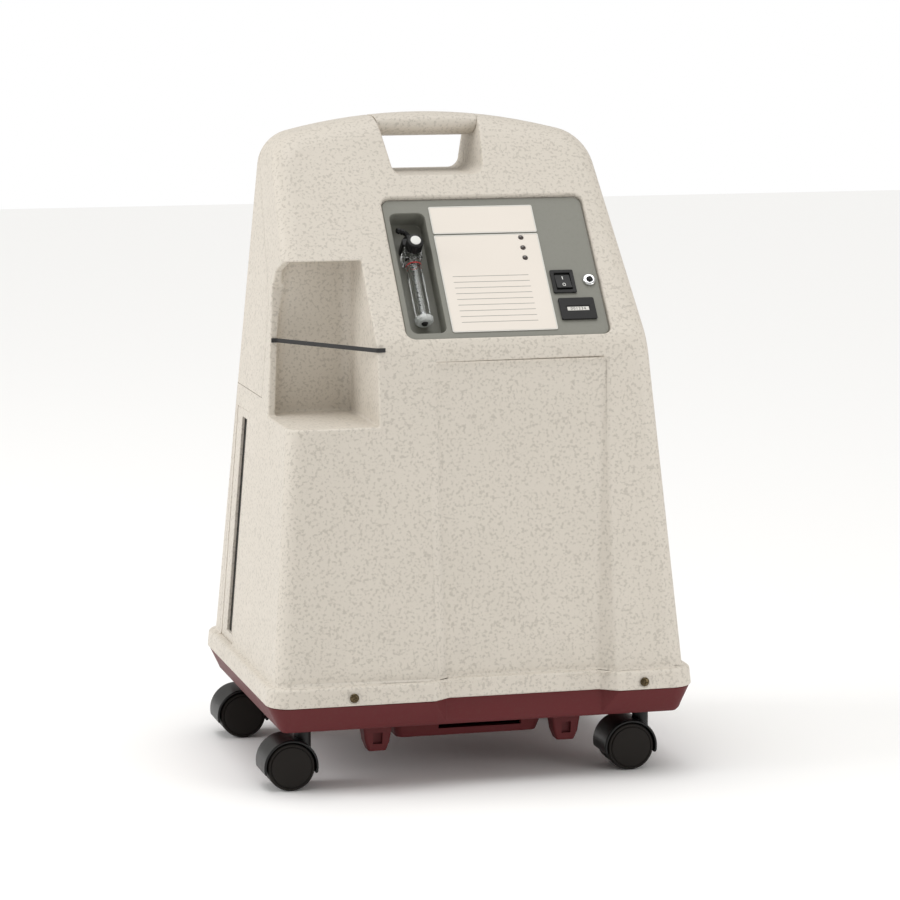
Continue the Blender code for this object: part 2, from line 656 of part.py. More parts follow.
def make_base_pan():
    """Base pan: floor, wall and rim, with caster sockets, outlet tray and lugs."""
    def ring(z, grow):
        return cabinet_ring(half_width(z), z, -1, 0, grow)

    gap = CLEAR + 0.0001
    rim = LIP - WALL - gap
    seat = LIP_BOTTOM - CLEAR
    rim_top = LIP_BOTTOM + PAN_RIM
    rings = [ring(PAN_BOTTOM, -0.0105), ring(PAN_BOTTOM + 0.004, -0.0075), ring(seat, LIP - 0.002),
             ring(seat, rim), ring(rim_top, rim)]
    pan = place("base_pan", loft_mesh("base_pan", rings), "burgundy")
    cut(pan, pan_tray(), "UNION")
    for side_name, side in SIDES:
        cut(pan, pan_lug(side_name, side), "UNION")
    inside = [ring(FLOOR, -0.0115), ring(seat - 0.002, LIP - 0.002 - WALL), ring(rim_top + 0.01, rim - 0.002)]
    cavity = place("pan_cavity", loft_mesh("pan_cavity", inside))
    cut(cavity, centre_recess("pan_recess_inside", 2 * WALL + gap))
    for name, (x, y) in caster_spots().items():
        cut(cavity, rod_cutter(name + "_socket", STEM_RADIUS + 0.005, (x, y, PAN_BOTTOM + 0.001),
                               (x, y, PAN_BOTTOM + STEM_LENGTH + 0.004)))
    cut(pan, centre_recess("pan_recess", WALL + gap))
    cut(pan, cavity)
    half_x, half_y = TRAY_HALF_WIDTH - 0.014, TRAY_HALF_DEPTH - 0.014
    cut(pan, box_cutter("tray_cavity", (-half_x, -half_y, TRAY_BOTTOM + WALL), (half_x, half_y, PAN_BOTTOM)))
    cut(pan, box_cutter("tray_vent", (-0.030, 0.020, PAN_BOTTOM - 0.004), (0.030, 0.070, FLOOR + 0.01)))
    cut(pan, box_cutter("tray_slot", (-0.032, -TRAY_HALF_DEPTH - 0.01, TRAY_BOTTOM + 0.008),
                        (0.058, -TRAY_HALF_DEPTH + 0.02, TRAY_BOTTOM + 0.016)))
    for name, (x, y) in caster_spots().items():
        cut(pan, rod_cutter(name + "_bore", STEM_RADIUS + CLEAR, (x, y, PAN_BOTTOM - 0.01),
                            (x, y, PAN_BOTTOM + STEM_LENGTH + CLEAR)))
    screw_holes(pan, "pan_screw_hole", 0.015)


def caster_spots():
    """Stem places by caster name."""
    x = BASE_WIDTH / 2 - CASTER_INSET_X
    y = BASE_DEPTH / 2 - CASTER_INSET_Y
    return {"caster_front_left": (-x, -y), "caster_front_right": (x, -y),
            "caster_rear_left": (-x, y), "caster_rear_right": (x, y)}


def make_screws():
    for spot, (x, face) in SCREW_SPOTS.items():
        guide = empty("screw_guide_" + spot, (x, face * (BASE_DEPTH / 2 + CLEAR), LIP_BOTTOM + SCREW_HEIGHT),
                      (math.radians(-90 * face), 0, 0))
        head, shank = SCREW_HEAD_RADIUS, SCREW_SHANK_RADIUS
        profile = [(0, SCREW_HEAD), (head * 0.7, SCREW_HEAD), (head, SCREW_HEAD * 0.5), (head, 0), (shank, 0),
                   (shank, -SCREW_LENGTH), (0, -SCREW_LENGTH)]
        turned_piece("screw_" + spot, profile, "brass", guide, steps=12)


def make_handle():
    """Carry bar: an oval bar that follows the crown and fits the cut-out."""
    bar = carry_cutout("carry_handle", -CLEAR, "beige")
    centre_y = rear_y(OVERALL_HEIGHT) - BAR_DEPTH / 2
    centre_z = OVERALL_HEIGHT - BAR_HEIGHT / 2 + BAR_PROUD
    oval = []
    for step in range(24):
        angle = math.tau * step / 24
        oval.append((centre_y + BAR_DEPTH / 2 * math.cos(angle), centre_z + BAR_HEIGHT / 2 * math.sin(angle)))
    cut(bar, place("bar_section", prism_mesh("bar_section", oval, "X", -FAR, FAR)), "INTERSECT")
    cut(bar, cabinet_form("bar_crown"), "INTERSECT")


def make_filters():
    for side_name, side in SIDES:
        frame = filter_block("filter_frame_" + side_name, side, CLEAR, FILTER_SUNK, FILTER_FRAME_DEPTH,
                             finish="beige")
        cut(frame, filter_block("filter_slot_" + side_name, side, CLEAR, -0.01, 0.01,
                                (FILTER_BORDER, FILTER_BORDER, FILTER_GRIP)))
        filter_block("filter_foam_" + side_name, side, CLEAR, FILTER_FRAME_DEPTH + CLEAR,
                     FILTER_FRAME_DEPTH + CLEAR + FOAM_DEPTH, finish="foam")


FACE = -PANEL_RECESS + CLEAR + PANEL_THICKNESS      # top of the panel plate


def make_panel(panel):
    """Control panel plate with its flowmeter pocket."""
    plate = panel_block("control_panel", CLEAR, -PANEL_RECESS + CLEAR, FACE, panel, "grey")
    floor = FACE - POCKET_DEPTH
    shell = rounded(POCKET_LEFT - POCKET_WALL, POCKET_RIGHT + POCKET_WALL, POCKET_LOW - POCKET_WALL,
                    POCKET_HIGH + POCKET_WALL, 0.009)
    cut(plate, place("pocket_shell", prism_mesh("pocket_shell", shell, "Z", floor - POCKET_WALL,
                                                FACE - 0.001), parent=panel), "UNION")
    hollow = rounded(POCKET_LEFT, POCKET_RIGHT, POCKET_LOW, POCKET_HIGH, 0.0075)
    hollow_mesh = prism_mesh("pocket_hollow", hollow, "Z", floor, FACE + 0.01)
    cut(plate, place("pocket_hollow", hollow_mesh, parent=panel))
    holes = (("switch_hole", SWITCH_X, SWITCH_V, SWITCH_WIDTH / 2 - 0.002, SWITCH_HEIGHT / 2 - 0.002),
             ("meter_hole", METER_X, METER_V, METER_WIDTH / 2 - 0.003, METER_HEIGHT / 2 - 0.003))
    for name, x, v, half_x, half_v in holes:
        cut(plate, box_cutter(name, (x - half_x, v - half_v, -0.02), (x + half_x, v + half_v, 0.01), panel))
    cut(plate, rod_cutter("breaker_hole", BREAKER_RADIUS - 0.0018, (BREAKER_X, BREAKER_V, -0.02),
                          (BREAKER_X, BREAKER_V, 0.01), panel))
    for number, v in enumerate(LAMP_HEIGHTS, 1):
        cut(plate, rod_cutter(f"lamp_hole_{number}", LAMP_RADIUS + CLEAR, (LAMP_X, v, -0.02),
                              (LAMP_X, v, 0.01), panel, segments=16))


def make_labels(panel):
    """Two bare label plates; the lower one is pierced for the lamps."""
    spans = {"label_lower": (LABEL_LOW, LABEL_SPLIT - 0.001),
             "label_upper": (LABEL_SPLIT + 0.001, LABEL_HIGH)}
    for name, (low, high) in spans.items():
        outline = rounded(LABEL_LEFT, LABEL_RIGHT, low, high, 0.002, 2)
        label = place(name, prism_mesh(name, outline, "Z", FACE + CLEAR, FACE + CLEAR + LABEL_THICKNESS),
                      "label", panel)
        if name == "label_lower":
            for number, v in enumerate(LAMP_HEIGHTS, 1):
                cut(label, rod_cutter(f"label_hole_{number}", LAMP_RADIUS + CLEAR, (LAMP_X, v, -0.02),
                                      (LAMP_X, v, 0.01), panel, segments=16))
    for number, v in enumerate(LAMP_HEIGHTS, 1):
        profile = [(0, 0.0016), (LAMP_RADIUS * 0.6, 0.0012), (LAMP_RADIUS, 0.0004), (LAMP_RADIUS, -0.006),
                   (0, -0.006)]
        guide = empty(f"lamp_guide_{number}", (LAMP_X, v, FACE + CLEAR), parent=panel)
        turned_piece(f"indicator_lamp_{number}", profile, "clear", guide, steps=12)


def make_switch(panel):
    """Rocker switch: a bezel with a body behind, and the rocker on its cross axis."""
    guide = empty("switch_guide", (SWITCH_X, SWITCH_V, FACE), parent=panel)
    half_x, half_v = SWITCH_WIDTH / 2, SWITCH_HEIGHT / 2
    bezel = box_piece("switch_bezel", (-half_x, -half_v, CLEAR), (half_x, half_v, 0.0022), "black", guide,
                      0.0006)
    body_x, body_v = half_x - 0.0025, half_v - 0.0025
    well_x, well_v = half_x - SWITCH_RIM, half_v - SWITCH_RIM
    cut(bezel, box_cutter("switch_body", (-body_x, -body_v, -0.020), (body_x, body_v, 0.001), guide), "UNION")
    cut(bezel, box_cutter("switch_well", (-well_x, -well_v, -0.012), (well_x, well_v, 0.01), guide))
    reach_x, reach_v = well_x - CLEAR, well_v - ROCKER_SWING
    outline = [(-reach_v, -0.004), (reach_v, -0.004), (reach_v, 0.0006), (0, 0.0020), (-reach_v, 0.0036)]
    rocker = place("switch_rocker", prism_mesh("switch_rocker", outline, "X", -reach_x, reach_x), "black",
                   guide, smooth=False)
    bevel(rocker, 0.0004)


def make_breaker(panel):
    """Breaker: threaded body with its nut, and the button that pops out."""
    guide = empty("breaker_guide", (BREAKER_X, BREAKER_V, FACE), parent=panel)
    inner = BREAKER_RADIUS - 0.0018 - CLEAR
    bore = 0.0034
    stop = bore - 0.001
    nut = BREAKER_RADIUS
    profile = [(bore, 0.0030), (nut * 0.9, 0.0030), (nut, 0.0022), (nut, CLEAR), (inner, CLEAR),
               (inner, -0.016), (stop, -0.016), (stop, -0.009), (bore, -0.009), (bore, 0.0030)]
    turned_piece("breaker_body", profile, "chrome", guide, steps=16)
    radius = bore - CLEAR
    button = [(0, 0.0050), (radius * 0.8, 0.0050), (radius, 0.0042), (radius, -0.0055), (0, -0.0055)]
    turned_piece("breaker_button", button, "black", guide, steps=16)


def make_hour_meter(panel):
    guide = empty("meter_guide", (METER_X, METER_V, FACE), parent=panel)
    half_x, half_v = METER_WIDTH / 2, METER_HEIGHT / 2
    meter = box_piece("hour_meter", (-half_x, -half_v, CLEAR), (half_x, half_v, 0.0026), "black", guide,
                      0.0007)
    cut(meter, box_cutter("meter_body", (-half_x + 0.0035, -half_v + 0.0035, -0.018),
                          (half_x - 0.0035, half_v - 0.0035, 0.001), guide), "UNION")
    cut(meter, box_cutter("meter_window", (-0.012, -0.003, 0.0016), (0.013, 0.003, 0.01), guide))


def make_flowmeter(panel):
    """Flowmeter in the pocket: clear tube body, float, knob and outlet."""
    x = (POCKET_LEFT + POCKET_RIGHT) / 2
    floor = FACE - POCKET_DEPTH
    axis_w = floor + CLEAR + TUBE_RADIUS + 0.002
    guide = empty("flow_guide", (x, 0, axis_w), parent=panel)
    tube = rod_mesh("flowmeter_body", TUBE_RADIUS, (0, TUBE_LOW + 0.010, 0), (0, TUBE_HIGH, 0), 20)
    body = place("flowmeter_body", tube, "clear", guide)
    head_half = TUBE_RADIUS + 0.0012
    head_top = TUBE_RADIUS + 0.0007
    cut(body, box_cutter("flow_head", (-head_half, TUBE_HIGH - 0.006, -TUBE_RADIUS - 0.002),
                         (head_half, KNOB_V + HEAD_ABOVE_KNOB, head_top), guide), "UNION")
    cut(body, rod_cutter("flow_foot", TUBE_RADIUS + 0.0015, (0, TUBE_LOW + 0.010, -TUBE_RADIUS - 0.002),
                         (0, TUBE_LOW + 0.010, TUBE_RADIUS + 0.001), guide), "UNION")
    cut(body, rod_cutter("flow_bore", TUBE_BORE, (0, TUBE_LOW + 0.006, 0), (0, TUBE_HIGH - 0.002, 0), guide,
                         20))
    cut(body, rod_cutter("flow_port", 0.0015, (0, TUBE_LOW - 0.01, 0), (0, TUBE_LOW + 0.008, 0), guide, 12))
    cut(body, rod_cutter("knob_bore", KNOB_STEM_RADIUS + CLEAR, (0, KNOB_V, -0.003), (0, KNOB_V, 0.02), guide,
                         16))
    ball = bmesh.new()
    bmesh.ops.create_uvsphere(ball, u_segments=12, v_segments=8, radius=TUBE_BORE - 0.0004)
    flow_float = place("flow_float", finish_mesh("flow_float", ball), "black", guide)
    flow_float.location = (0, TUBE_LOW + 0.006 + TUBE_BORE, 0)
    knob_guide = empty("knob_guide", (0, KNOB_V, head_top + CLEAR), parent=guide)
    profile = [(0, 0.0165), (KNOB_RADIUS * 0.8, 0.0165), (KNOB_RADIUS, 0.0150), (KNOB_RADIUS, 0.0030),
               (KNOB_RADIUS * 0.75, 0), (KNOB_STEM_RADIUS, 0), (KNOB_STEM_RADIUS, -0.0085), (0, -0.0085)]
    turned_piece("flow_knob", profile, "black", knob_guide, steps=20)
    top = KNOB_V + HEAD_ABOVE_KNOB + CLEAR
    outlet_guide = empty("outlet_guide", (0, top, 0.002), (math.radians(-90), 0, 0), guide)
    barb = [(0, 0.020), (0.0022, 0.020), (0.0034, 0.016), (0.0024, 0.0155), (0.0034, 0.011), (0.0024, 0.0105),
            (0.0024, 0.007), (0.0060, 0.007), (0.0060, 0), (0, 0)]
    turned_piece("oxygen_outlet", barb, "black", outlet_guide, steps=16)


def make_strap():
    """Flat bottle strap across the mouth of the recess, its ends turned onto the walls."""
    z = SHELF + STRAP_HEIGHT
    half = STRAP_WIDTH / 2
    wall_y = notch_back(z - half) - CLEAR
    face_y = front_y(z - half) - CLEAR
    left = -half_width(z) + 0.0012
    turn_left, turn_right = left + 0.0055, RECESS_RIGHT - 0.001
    right = RECESS_RIGHT + STRAP_TAB
    back = [(left, wall_y), (turn_left, wall_y), (turn_right, face_y), (right, face_y)]
    front = [(x, y - STRAP_THICKNESS) for x, y in reversed(back)]
    band = prism_mesh("bottle_strap", back + front, "Z", z - half, z + half)
    place("bottle_strap", band, "rubber", smooth=False)


def make_caster_fork(name, swivel):
    """Hood over the two wheels, with the web between them, the stem and its boss."""
    half = WHEEL_GAP / 2 + WHEEL_WIDTH
    hood = WHEEL_RADIUS + HOOD_GAP + HOOD_WALL
    web = WHEEL_GAP / 2 - 0.0005

    def hub(y):
        return Vector((-TRAIL, y, WHEEL_RADIUS))

    fork = place(name + "_fork", rod_mesh(name + "_fork", hood, hub(-half), hub(half), 24), "black", swivel)
    cut(fork, box_cutter(name + "_under", (-0.08, -0.04, -0.02), (0.04, 0.04, WHEEL_RADIUS * 0.72), swivel))
    cut(fork, rod_cutter(name + "_stem_boss", 0.0085, (0, 0, WHEEL_RADIUS * 0.9), (0, 0, PAN_BOTTOM - 0.0012),
                         swivel, 16), "UNION")
    cut(fork, rod_cutter(name + "_stem", STEM_RADIUS, (0, 0, WHEEL_RADIUS), (0, 0, PAN_BOTTOM + STEM_LENGTH),
                         swivel, 16), "UNION")
    for label, side in (("out", -1), ("in", 1)):
        cut(fork, rod_cutter(f"{name}_wheel_room_{label}", WHEEL_RADIUS + HOOD_GAP, hub(side * web),
                             hub(side * (half + 0.01)), swivel, 24))
    cut(fork, rod_cutter(name + "_web", 0.0085, hub(-web), hub(web), swivel, 16), "UNION")
    cut(fork, rod_cutter(name + "_axle_hole", AXLE_RADIUS + AXLE_GAP, hub(-0.03), hub(0.03), swivel, 16))


def make_caster(name, x, y):
    """Twin-wheel caster: hooded fork with its stem, axle and two wheels."""
    swivel = empty(name + "_swivel", (x, y, 0))
    axle_at = empty(name + "_axle_line", (-TRAIL, 0, WHEEL_RADIUS), (math.radians(90), 0, 0), swivel)
    make_caster_fork(name, swivel)
    inner, outer = WHEEL_GAP / 2 + CLEAR, WHEEL_GAP / 2 + WHEEL_WIDTH
    depth = outer - 0.003
    pin = rod_mesh(name + "_axle", AXLE_RADIUS, (0, 0, -depth), (0, 0, depth), 16)
    place(name + "_axle", pin, "alloy", axle_at)
    bore = AXLE_RADIUS + CLEAR
    for label, turn in (("outer", 0), ("inner", math.pi)):
        wheel_at = empty(f"{name}_{label}_at", (0, 0, 0), (turn, 0, 0), axle_at)
        profile = [(0, outer), (WHEEL_RADIUS * 0.78, outer), (WHEEL_RADIUS * 0.82, outer - 0.001),
                   (WHEEL_RADIUS * 0.95, outer - 0.001), (WHEEL_RADIUS, outer - 0.003),
                   (WHEEL_RADIUS, inner + 0.002), (WHEEL_RADIUS * 0.94, inner),
                   (bore, inner), (bore, depth + CLEAR), (0, depth + CLEAR)]
        turned_piece(f"{name}_wheel_{label}", profile, "rubber", wheel_at, steps=20)


def make_beds(floor, plate_y):
    """Two sieve beds and the product tank, with the valve manifold and muffler on top."""
    bed_top = SHELF + 0.004
    bed_front = plate_y + PLATE_THICKNESS + BED_CLEARANCE / 2
    bed_radius = (rear_y(bed_top, WALL) - BED_CLEARANCE / 2 - bed_front) / 2
    bed_y = bed_front + bed_radius
    bed_x = half_width(bed_top) - WALL - FILTER_FRAME_DEPTH - FOAM_DEPTH - 0.004 - bed_radius
    for side_name, side in SIDES:
        name = "sieve_bed_" + side_name
        x = side * bed_x
        place(name, rod_mesh(name, bed_radius, (x, bed_y, floor), (x, bed_y, bed_top), 32), "alloy")
    tank = rod_mesh("product_tank", TANK_RADIUS, (0, bed_y, floor), (0, bed_y, floor + TANK_HEIGHT), 32)
    place("product_tank", tank, "alloy")
    low = bed_top + CLEAR
    high = low + MANIFOLD_HEIGHT
    box_piece("valve_manifold", (-bed_x, bed_y - 0.020, low), (bed_x, bed_y + 0.020, high), "alloy")
    foot = high + CLEAR
    place("exhaust_muffler", rod_mesh("exhaust_muffler", MUFFLER_RADIUS, (0.05, bed_y, foot),
                                      (0.05, bed_y, foot + MUFFLER_HEIGHT), 20), "black")


def make_fan(fan_front, fan_z):
    """Axial fan: a square frame with spokes and motor, and the rotor on its shaft."""
    half = FAN_SIZE / 2
    back = fan_front + FAN_DEPTH
    frame = box_piece("fan_frame", (-half, fan_front, fan_z - half), (half, back, fan_z + half), "black")
    cut(frame, rod_cutter("fan_bore", FAN_SIZE * 0.465, (0, fan_front - 0.01, fan_z), (0, back + 0.01, fan_z),
                          segments=32))
    for number in range(3):
        name = f"fan_spoke_{number + 1}"
        spoke = box_cutter(name, (0, -0.0015, -0.003), (FAN_SIZE * 0.48, 0.0015, 0.003))
        spoke.location = (0, fan_front + 0.0022, fan_z)
        spoke.rotation_euler = (0, math.radians(90 + 120 * number), 0)
        cut(frame, spoke, "UNION")
    for name, radius, start, end, sides in (("fan_motor", FAN_HUB_RADIUS, 0.0004, 0.004, 24),
                                            ("fan_shaft", FAN_SHAFT_RADIUS, 0.003, 0.014, 12)):
        cut(frame, rod_cutter(name, radius, (0, fan_front + start, fan_z), (0, fan_front + end, fan_z),
                              segments=sides), "UNION")
    rotor_at = empty("fan_line", (0, fan_front + 0.0045, fan_z))
    hub = rod_mesh("fan_rotor", FAN_HUB_RADIUS, (0, 0, 0), (0, 0.018, 0))
    rotor = place("fan_rotor", hub, "black", rotor_at)
    for number in range(FAN_BLADES):
        blade = box_cutter(f"fan_blade_{number + 1}", (0.010, -0.001, -0.012),
                           (FAN_SIZE * 0.43, 0.001, 0.012), rotor_at)
        blade.rotation_euler = (Matrix.Rotation(math.tau * number / FAN_BLADES, 4, "Y")
                                @ Matrix.Rotation(FAN_BLADE_PITCH, 4, "X")).to_euler()
        blade.location = (0, 0.009, 0)
        cut(rotor, blade, "UNION")
    cut(rotor, rod_cutter("fan_rotor_bore", FAN_SHAFT_RADIUS + CLEAR, (0, -0.01, 0), (0, 0.0115, 0), rotor_at,
                          16))


def make_board(plate_y):
    """Control board on four standoffs, with its three largest components."""
    front = plate_y - CLEAR - BOARD_STANDOFF
    low = SHELF + BOARD_ABOVE_SHELF
    board = box_piece("control_board", (BOARD_LEFT, front, low),
                      (BOARD_RIGHT, front + BOARD_THICKNESS, low + BOARD_HEIGHT), "board")
    edge = 0.006
    for row, z in (("low", low + edge), ("high", low + BOARD_HEIGHT - edge)):
        for side_name, x in (("left", BOARD_LEFT + edge), ("right", BOARD_RIGHT - edge)):
            cut(board, rod_cutter(f"standoff_{row}_{side_name}", 0.003, (x, front + 0.001, z),
                                  (x, plate_y - CLEAR, z), segments=12), "UNION")
    components = {"transformer": (-0.02, 0.02, 0.03, 0.024, 0.02),
                  "capacitor": (0.03, 0.05, 0.024, 0.02, 0.014), "relay": (0.08, 0.03, 0.016, 0.03, 0.016)}
    for name, (x, rise, width, height, depth) in components.items():
        z = low + rise
        cut(board, box_cutter("board_" + name, (x, front - depth, z), (x + width, front + 0.001, z + height)),
            "UNION")


def make_inside():
    """The chassis plate and everything that it carries."""
    plate_y = recess_back() + WALL + PLATE_GAP
    floor = FLOOR + CLEAR
    fan_z = SHELF - FAN_BELOW_SHELF
    fan_front = plate_y - CLEAR - FAN_DEPTH
    plate = box_piece("chassis_plate", (-PLATE_HALF_WIDTH, plate_y, floor),
                      (PLATE_HALF_WIDTH, plate_y + PLATE_THICKNESS, BEND_HEIGHT + PLATE_ABOVE_BEND), "alloy")
    cut(plate, rod_cutter("fan_hole", FAN_SIZE * 0.46, (0, plate_y - 0.05, fan_z), (0, plate_y + 0.05, fan_z),
                          segments=32))
    make_beds(floor, plate_y)
    make_fan(fan_front, fan_z)
    make_compressor(floor, plate_y)
    make_coil(fan_front, fan_z)
    make_board(plate_y)


def compressor_head_profile():
    """Finned head: wide fins over a narrow core, on a plain foot."""
    fin, core = HEAD_RADIUS + 0.004, HEAD_RADIUS - 0.006
    profile = [(0, HEAD_HEIGHT)]
    for number in range(FIN_COUNT):
        high = HEAD_HEIGHT - number * FIN_PITCH
        middle = high - FIN_PITCH / 2
        profile += [(fin, high), (fin, middle), (core, middle), (core, high - FIN_PITCH)]
    return profile + [(HEAD_RADIUS, HEAD_HEIGHT - FIN_COUNT * FIN_PITCH), (HEAD_RADIUS, 0), (0, 0)]


def make_compressor(floor, plate_y):
    """Twin-head compressor: motor on four feet, with a finned head at each end."""
    radius = COMPRESSOR_RADIUS
    y = plate_y - 0.018 - radius
    z = floor + FOOT_HEIGHT + radius
    reach = COMPRESSOR_LENGTH / 2
    motor = rod_mesh("compressor_body", radius, (-reach, y, z), (reach, y, z), 24)
    body = place("compressor_body", motor, "alloy")
    top = z + radius + 0.016
    head_x = reach - 0.034
    for side_name, side in SIDES:
        x = side * head_x
        cut(body, rod_cutter("crankcase_" + side_name, HEAD_RADIUS, (x, y, z), (x, y, top), segments=16),
            "UNION")
        for edge_name, edge in (("front", -1), ("rear", 1)):
            spot = (side * (reach - 0.022), y + edge * radius * 0.62)
            cut(body, rod_cutter(f"foot_{side_name}_{edge_name}", 0.011, (*spot, floor),
                                 (*spot, z - radius * 0.6), segments=12), "UNION")
        head_at = empty("head_guide_" + side_name, (x, y, top + CLEAR))
        turned_piece("compressor_head_" + side_name, compressor_head_profile(), "alloy", head_at, steps=16)
    base = top + 2 * CLEAR + HEAD_HEIGHT
    place("intake_filter", rod_mesh("intake_filter", INTAKE_RADIUS, (head_x, y, base),
                                    (head_x, y, base + INTAKE_HEIGHT), 24), "black")


def make_coil(fan_front, fan_z):
    """Heat exchanger: one tube folded to and fro ahead of the fan."""
    y = fan_front - CLEAR - COIL_TUBE_RADIUS
    bend = COIL_PITCH / 2
    points = []
    for run in range(COIL_RUNS):
        z = fan_z + (run - (COIL_RUNS - 1) / 2) * COIL_PITCH
        side = 1 if run % 2 else -1
        points += [(side * COIL_HALF_WIDTH, z), (-side * COIL_HALF_WIDTH, z)]
        if run < COIL_RUNS - 1:
            for step in (1, 2, 3):
                angle = math.pi * step / 4
                reach = COIL_HALF_WIDTH + bend * math.sin(angle)
                points.append((-side * reach, z + bend * (1 - math.cos(angle))))
    curve = bpy.data.curves.new("heat_exchanger", "CURVE")
    curve.dimensions = "3D"
    curve.bevel_depth = COIL_TUBE_RADIUS
    curve.bevel_resolution = 2
    curve.use_fill_caps = True
    spline = curve.splines.new("POLY")
    spline.points.add(len(points) - 1)
    for spot, (x, z) in zip(spline.points, points):
        spot.co = (x, y, z, 1)
    curve.materials.append(material("copper"))
    bpy.data.collections["oxygen_concentrator"].objects.link(bpy.data.objects.new("heat_exchanger", curve))


def make_inlet():
    """Mains inlet in the rear wall."""
    x, z = INLET_X, INLET_Z
    y = rear_y(z - 0.012) + CLEAR

    def block(name, half, front, back):
        return box_cutter(name, (x - half[0], y + front, z - half[1]), (x + half[0], y + back, z + half[1]))

    flange_x, flange_z = INLET_FLANGE
    inlet = box_piece("power_inlet", (x - flange_x, y, z - flange_z), (x + flange_x, y + 0.003, z + flange_z),
                      "black")
    cut(inlet, block("inlet_body", INLET_SHELL, -INLET_BODY_DEPTH, 0.001), "UNION")
    cut(inlet, block("inlet_socket", INLET_SOCKET, -INLET_SOCKET_DEPTH, 0.01))
    for number, (dx, dz) in enumerate(INLET_PINS, 1):
        cut(inlet, box_cutter(f"inlet_pin_{number}", (x + dx - 0.001, y - 0.019, z + dz - 0.002),
                              (x + dx + 0.001, y - 0.004, z + dz + 0.002)), "UNION")


def main():
    for old in list(bpy.data.objects):
        bpy.data.objects.remove(old, do_unlink=True)
    for name in ("oxygen_concentrator", "cutters"):
        group = bpy.data.collections.new(name)
        bpy.context.scene.collection.children.link(group)
    panel = panel_guide()
    make_housings(panel)
    make_base_pan()
    make_screws()
    make_handle()
    make_filters()
    make_panel(panel)
    make_labels(panel)
    make_switch(panel)
    make_breaker(panel)
    make_hour_meter(panel)
    make_flowmeter(panel)
    make_strap()
    for name, (x, y) in caster_spots().items():
        make_caster(name, x, y)
    make_inside()
    make_inlet()


main()
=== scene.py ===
"""Oxygen concentrator: the finished look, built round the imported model.

X points right, Y back and Z up, in metres. Each operator builds one group of pieces; main() runs them all.
"""
import math

import bmesh
import bpy
import numpy as np
from bpy.props import FloatProperty, FloatVectorProperty, IntProperty, PointerProperty
from mathutils import Matrix, Vector


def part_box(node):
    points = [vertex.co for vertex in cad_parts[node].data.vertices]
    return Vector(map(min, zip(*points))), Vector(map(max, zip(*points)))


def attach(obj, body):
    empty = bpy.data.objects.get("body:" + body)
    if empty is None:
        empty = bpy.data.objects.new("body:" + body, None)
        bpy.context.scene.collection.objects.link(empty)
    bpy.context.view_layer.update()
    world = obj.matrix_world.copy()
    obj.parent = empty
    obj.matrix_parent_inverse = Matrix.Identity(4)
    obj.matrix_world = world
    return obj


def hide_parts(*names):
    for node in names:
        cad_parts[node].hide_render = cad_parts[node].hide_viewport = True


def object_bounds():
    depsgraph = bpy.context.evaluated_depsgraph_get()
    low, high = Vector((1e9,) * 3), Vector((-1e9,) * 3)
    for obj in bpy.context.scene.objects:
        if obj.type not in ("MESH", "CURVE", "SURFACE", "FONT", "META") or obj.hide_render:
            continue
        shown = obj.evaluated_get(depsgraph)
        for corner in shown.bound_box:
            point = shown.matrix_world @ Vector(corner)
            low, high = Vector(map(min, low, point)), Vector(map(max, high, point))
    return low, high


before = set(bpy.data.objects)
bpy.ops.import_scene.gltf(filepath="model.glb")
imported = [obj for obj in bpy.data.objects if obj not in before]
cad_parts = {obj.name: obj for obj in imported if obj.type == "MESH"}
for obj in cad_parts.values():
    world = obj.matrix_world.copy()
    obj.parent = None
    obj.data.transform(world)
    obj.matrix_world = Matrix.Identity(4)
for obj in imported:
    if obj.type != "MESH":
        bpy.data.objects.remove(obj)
CAD_BOX = [list(corner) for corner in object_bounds()]

bl_info = {
    "name": "Oxygen concentrator",
    "version": (1, 0, 0),
    "blender": (4, 5, 0),
    "location": "3D View > Sidebar > Concentrator",
    "description": "Builds the finished surfaces of an oxygen concentrator",
    "category": "Add Mesh",
}

# ---- Cabinet, as packed ----
HOUSING_LOW, HOUSING_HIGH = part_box("front_housing")
OVERALL_HEIGHT = CAD_BOX[1][2]
BASE_WIDTH = HOUSING_HIGH.x - HOUSING_LOW.x
BASE_DEPTH = -2 * HOUSING_LOW.y
LIP_BOTTOM = HOUSING_LOW.z
LIP_HEIGHT = 0.020
LIP_TOP = LIP_BOTTOM + LIP_HEIGHT
LIP = 0.0075
BEND_HEIGHT = OVERALL_HEIGHT - 0.228
SIDE_DRAFT = 0.04872 / (OVERALL_HEIGHT - LIP_BOTTOM)
REAR_DRAFT = 0.04432 / (OVERALL_HEIGHT - LIP_BOTTOM)
FRONT_DRAFT = 0.04358 / (BEND_HEIGHT - LIP_BOTTOM)
UPPER_RAKE = math.radians(40.8)
BEND_RADIUS = 0.050
EDGE_RADIUS = 0.018
SHOULDER_RADIUS = 0.040
CROWN_RADIUS = 0.600
WALL = 0.003
CLEAR = 0.0003
FAR = 0.4

# ---- Bottle recess and seam ----
SHELF = BEND_HEIGHT - 0.079
RECESS_HEIGHT = 0.163
RECESS_DEPTH = 0.136
RECESS_RIGHT = -0.102
RECESS_SIDE_WALL = 0.0085
RECESS_CORNER = 0.012
NOTCH_BACK_LOW, NOTCH_BACK_HIGH, NOTCH_RISE = 0.030, 0.002, 0.132
NOTCH_RIGHT = -0.155
SEAM_LOW_BACK = 0.046
SEAM_STEP_BELOW_BEND = 0.064
SEAM_BEHIND_RECESS = 0.003
SEAM_RAKE_START, SEAM_RAKE = 0.040, 0.72

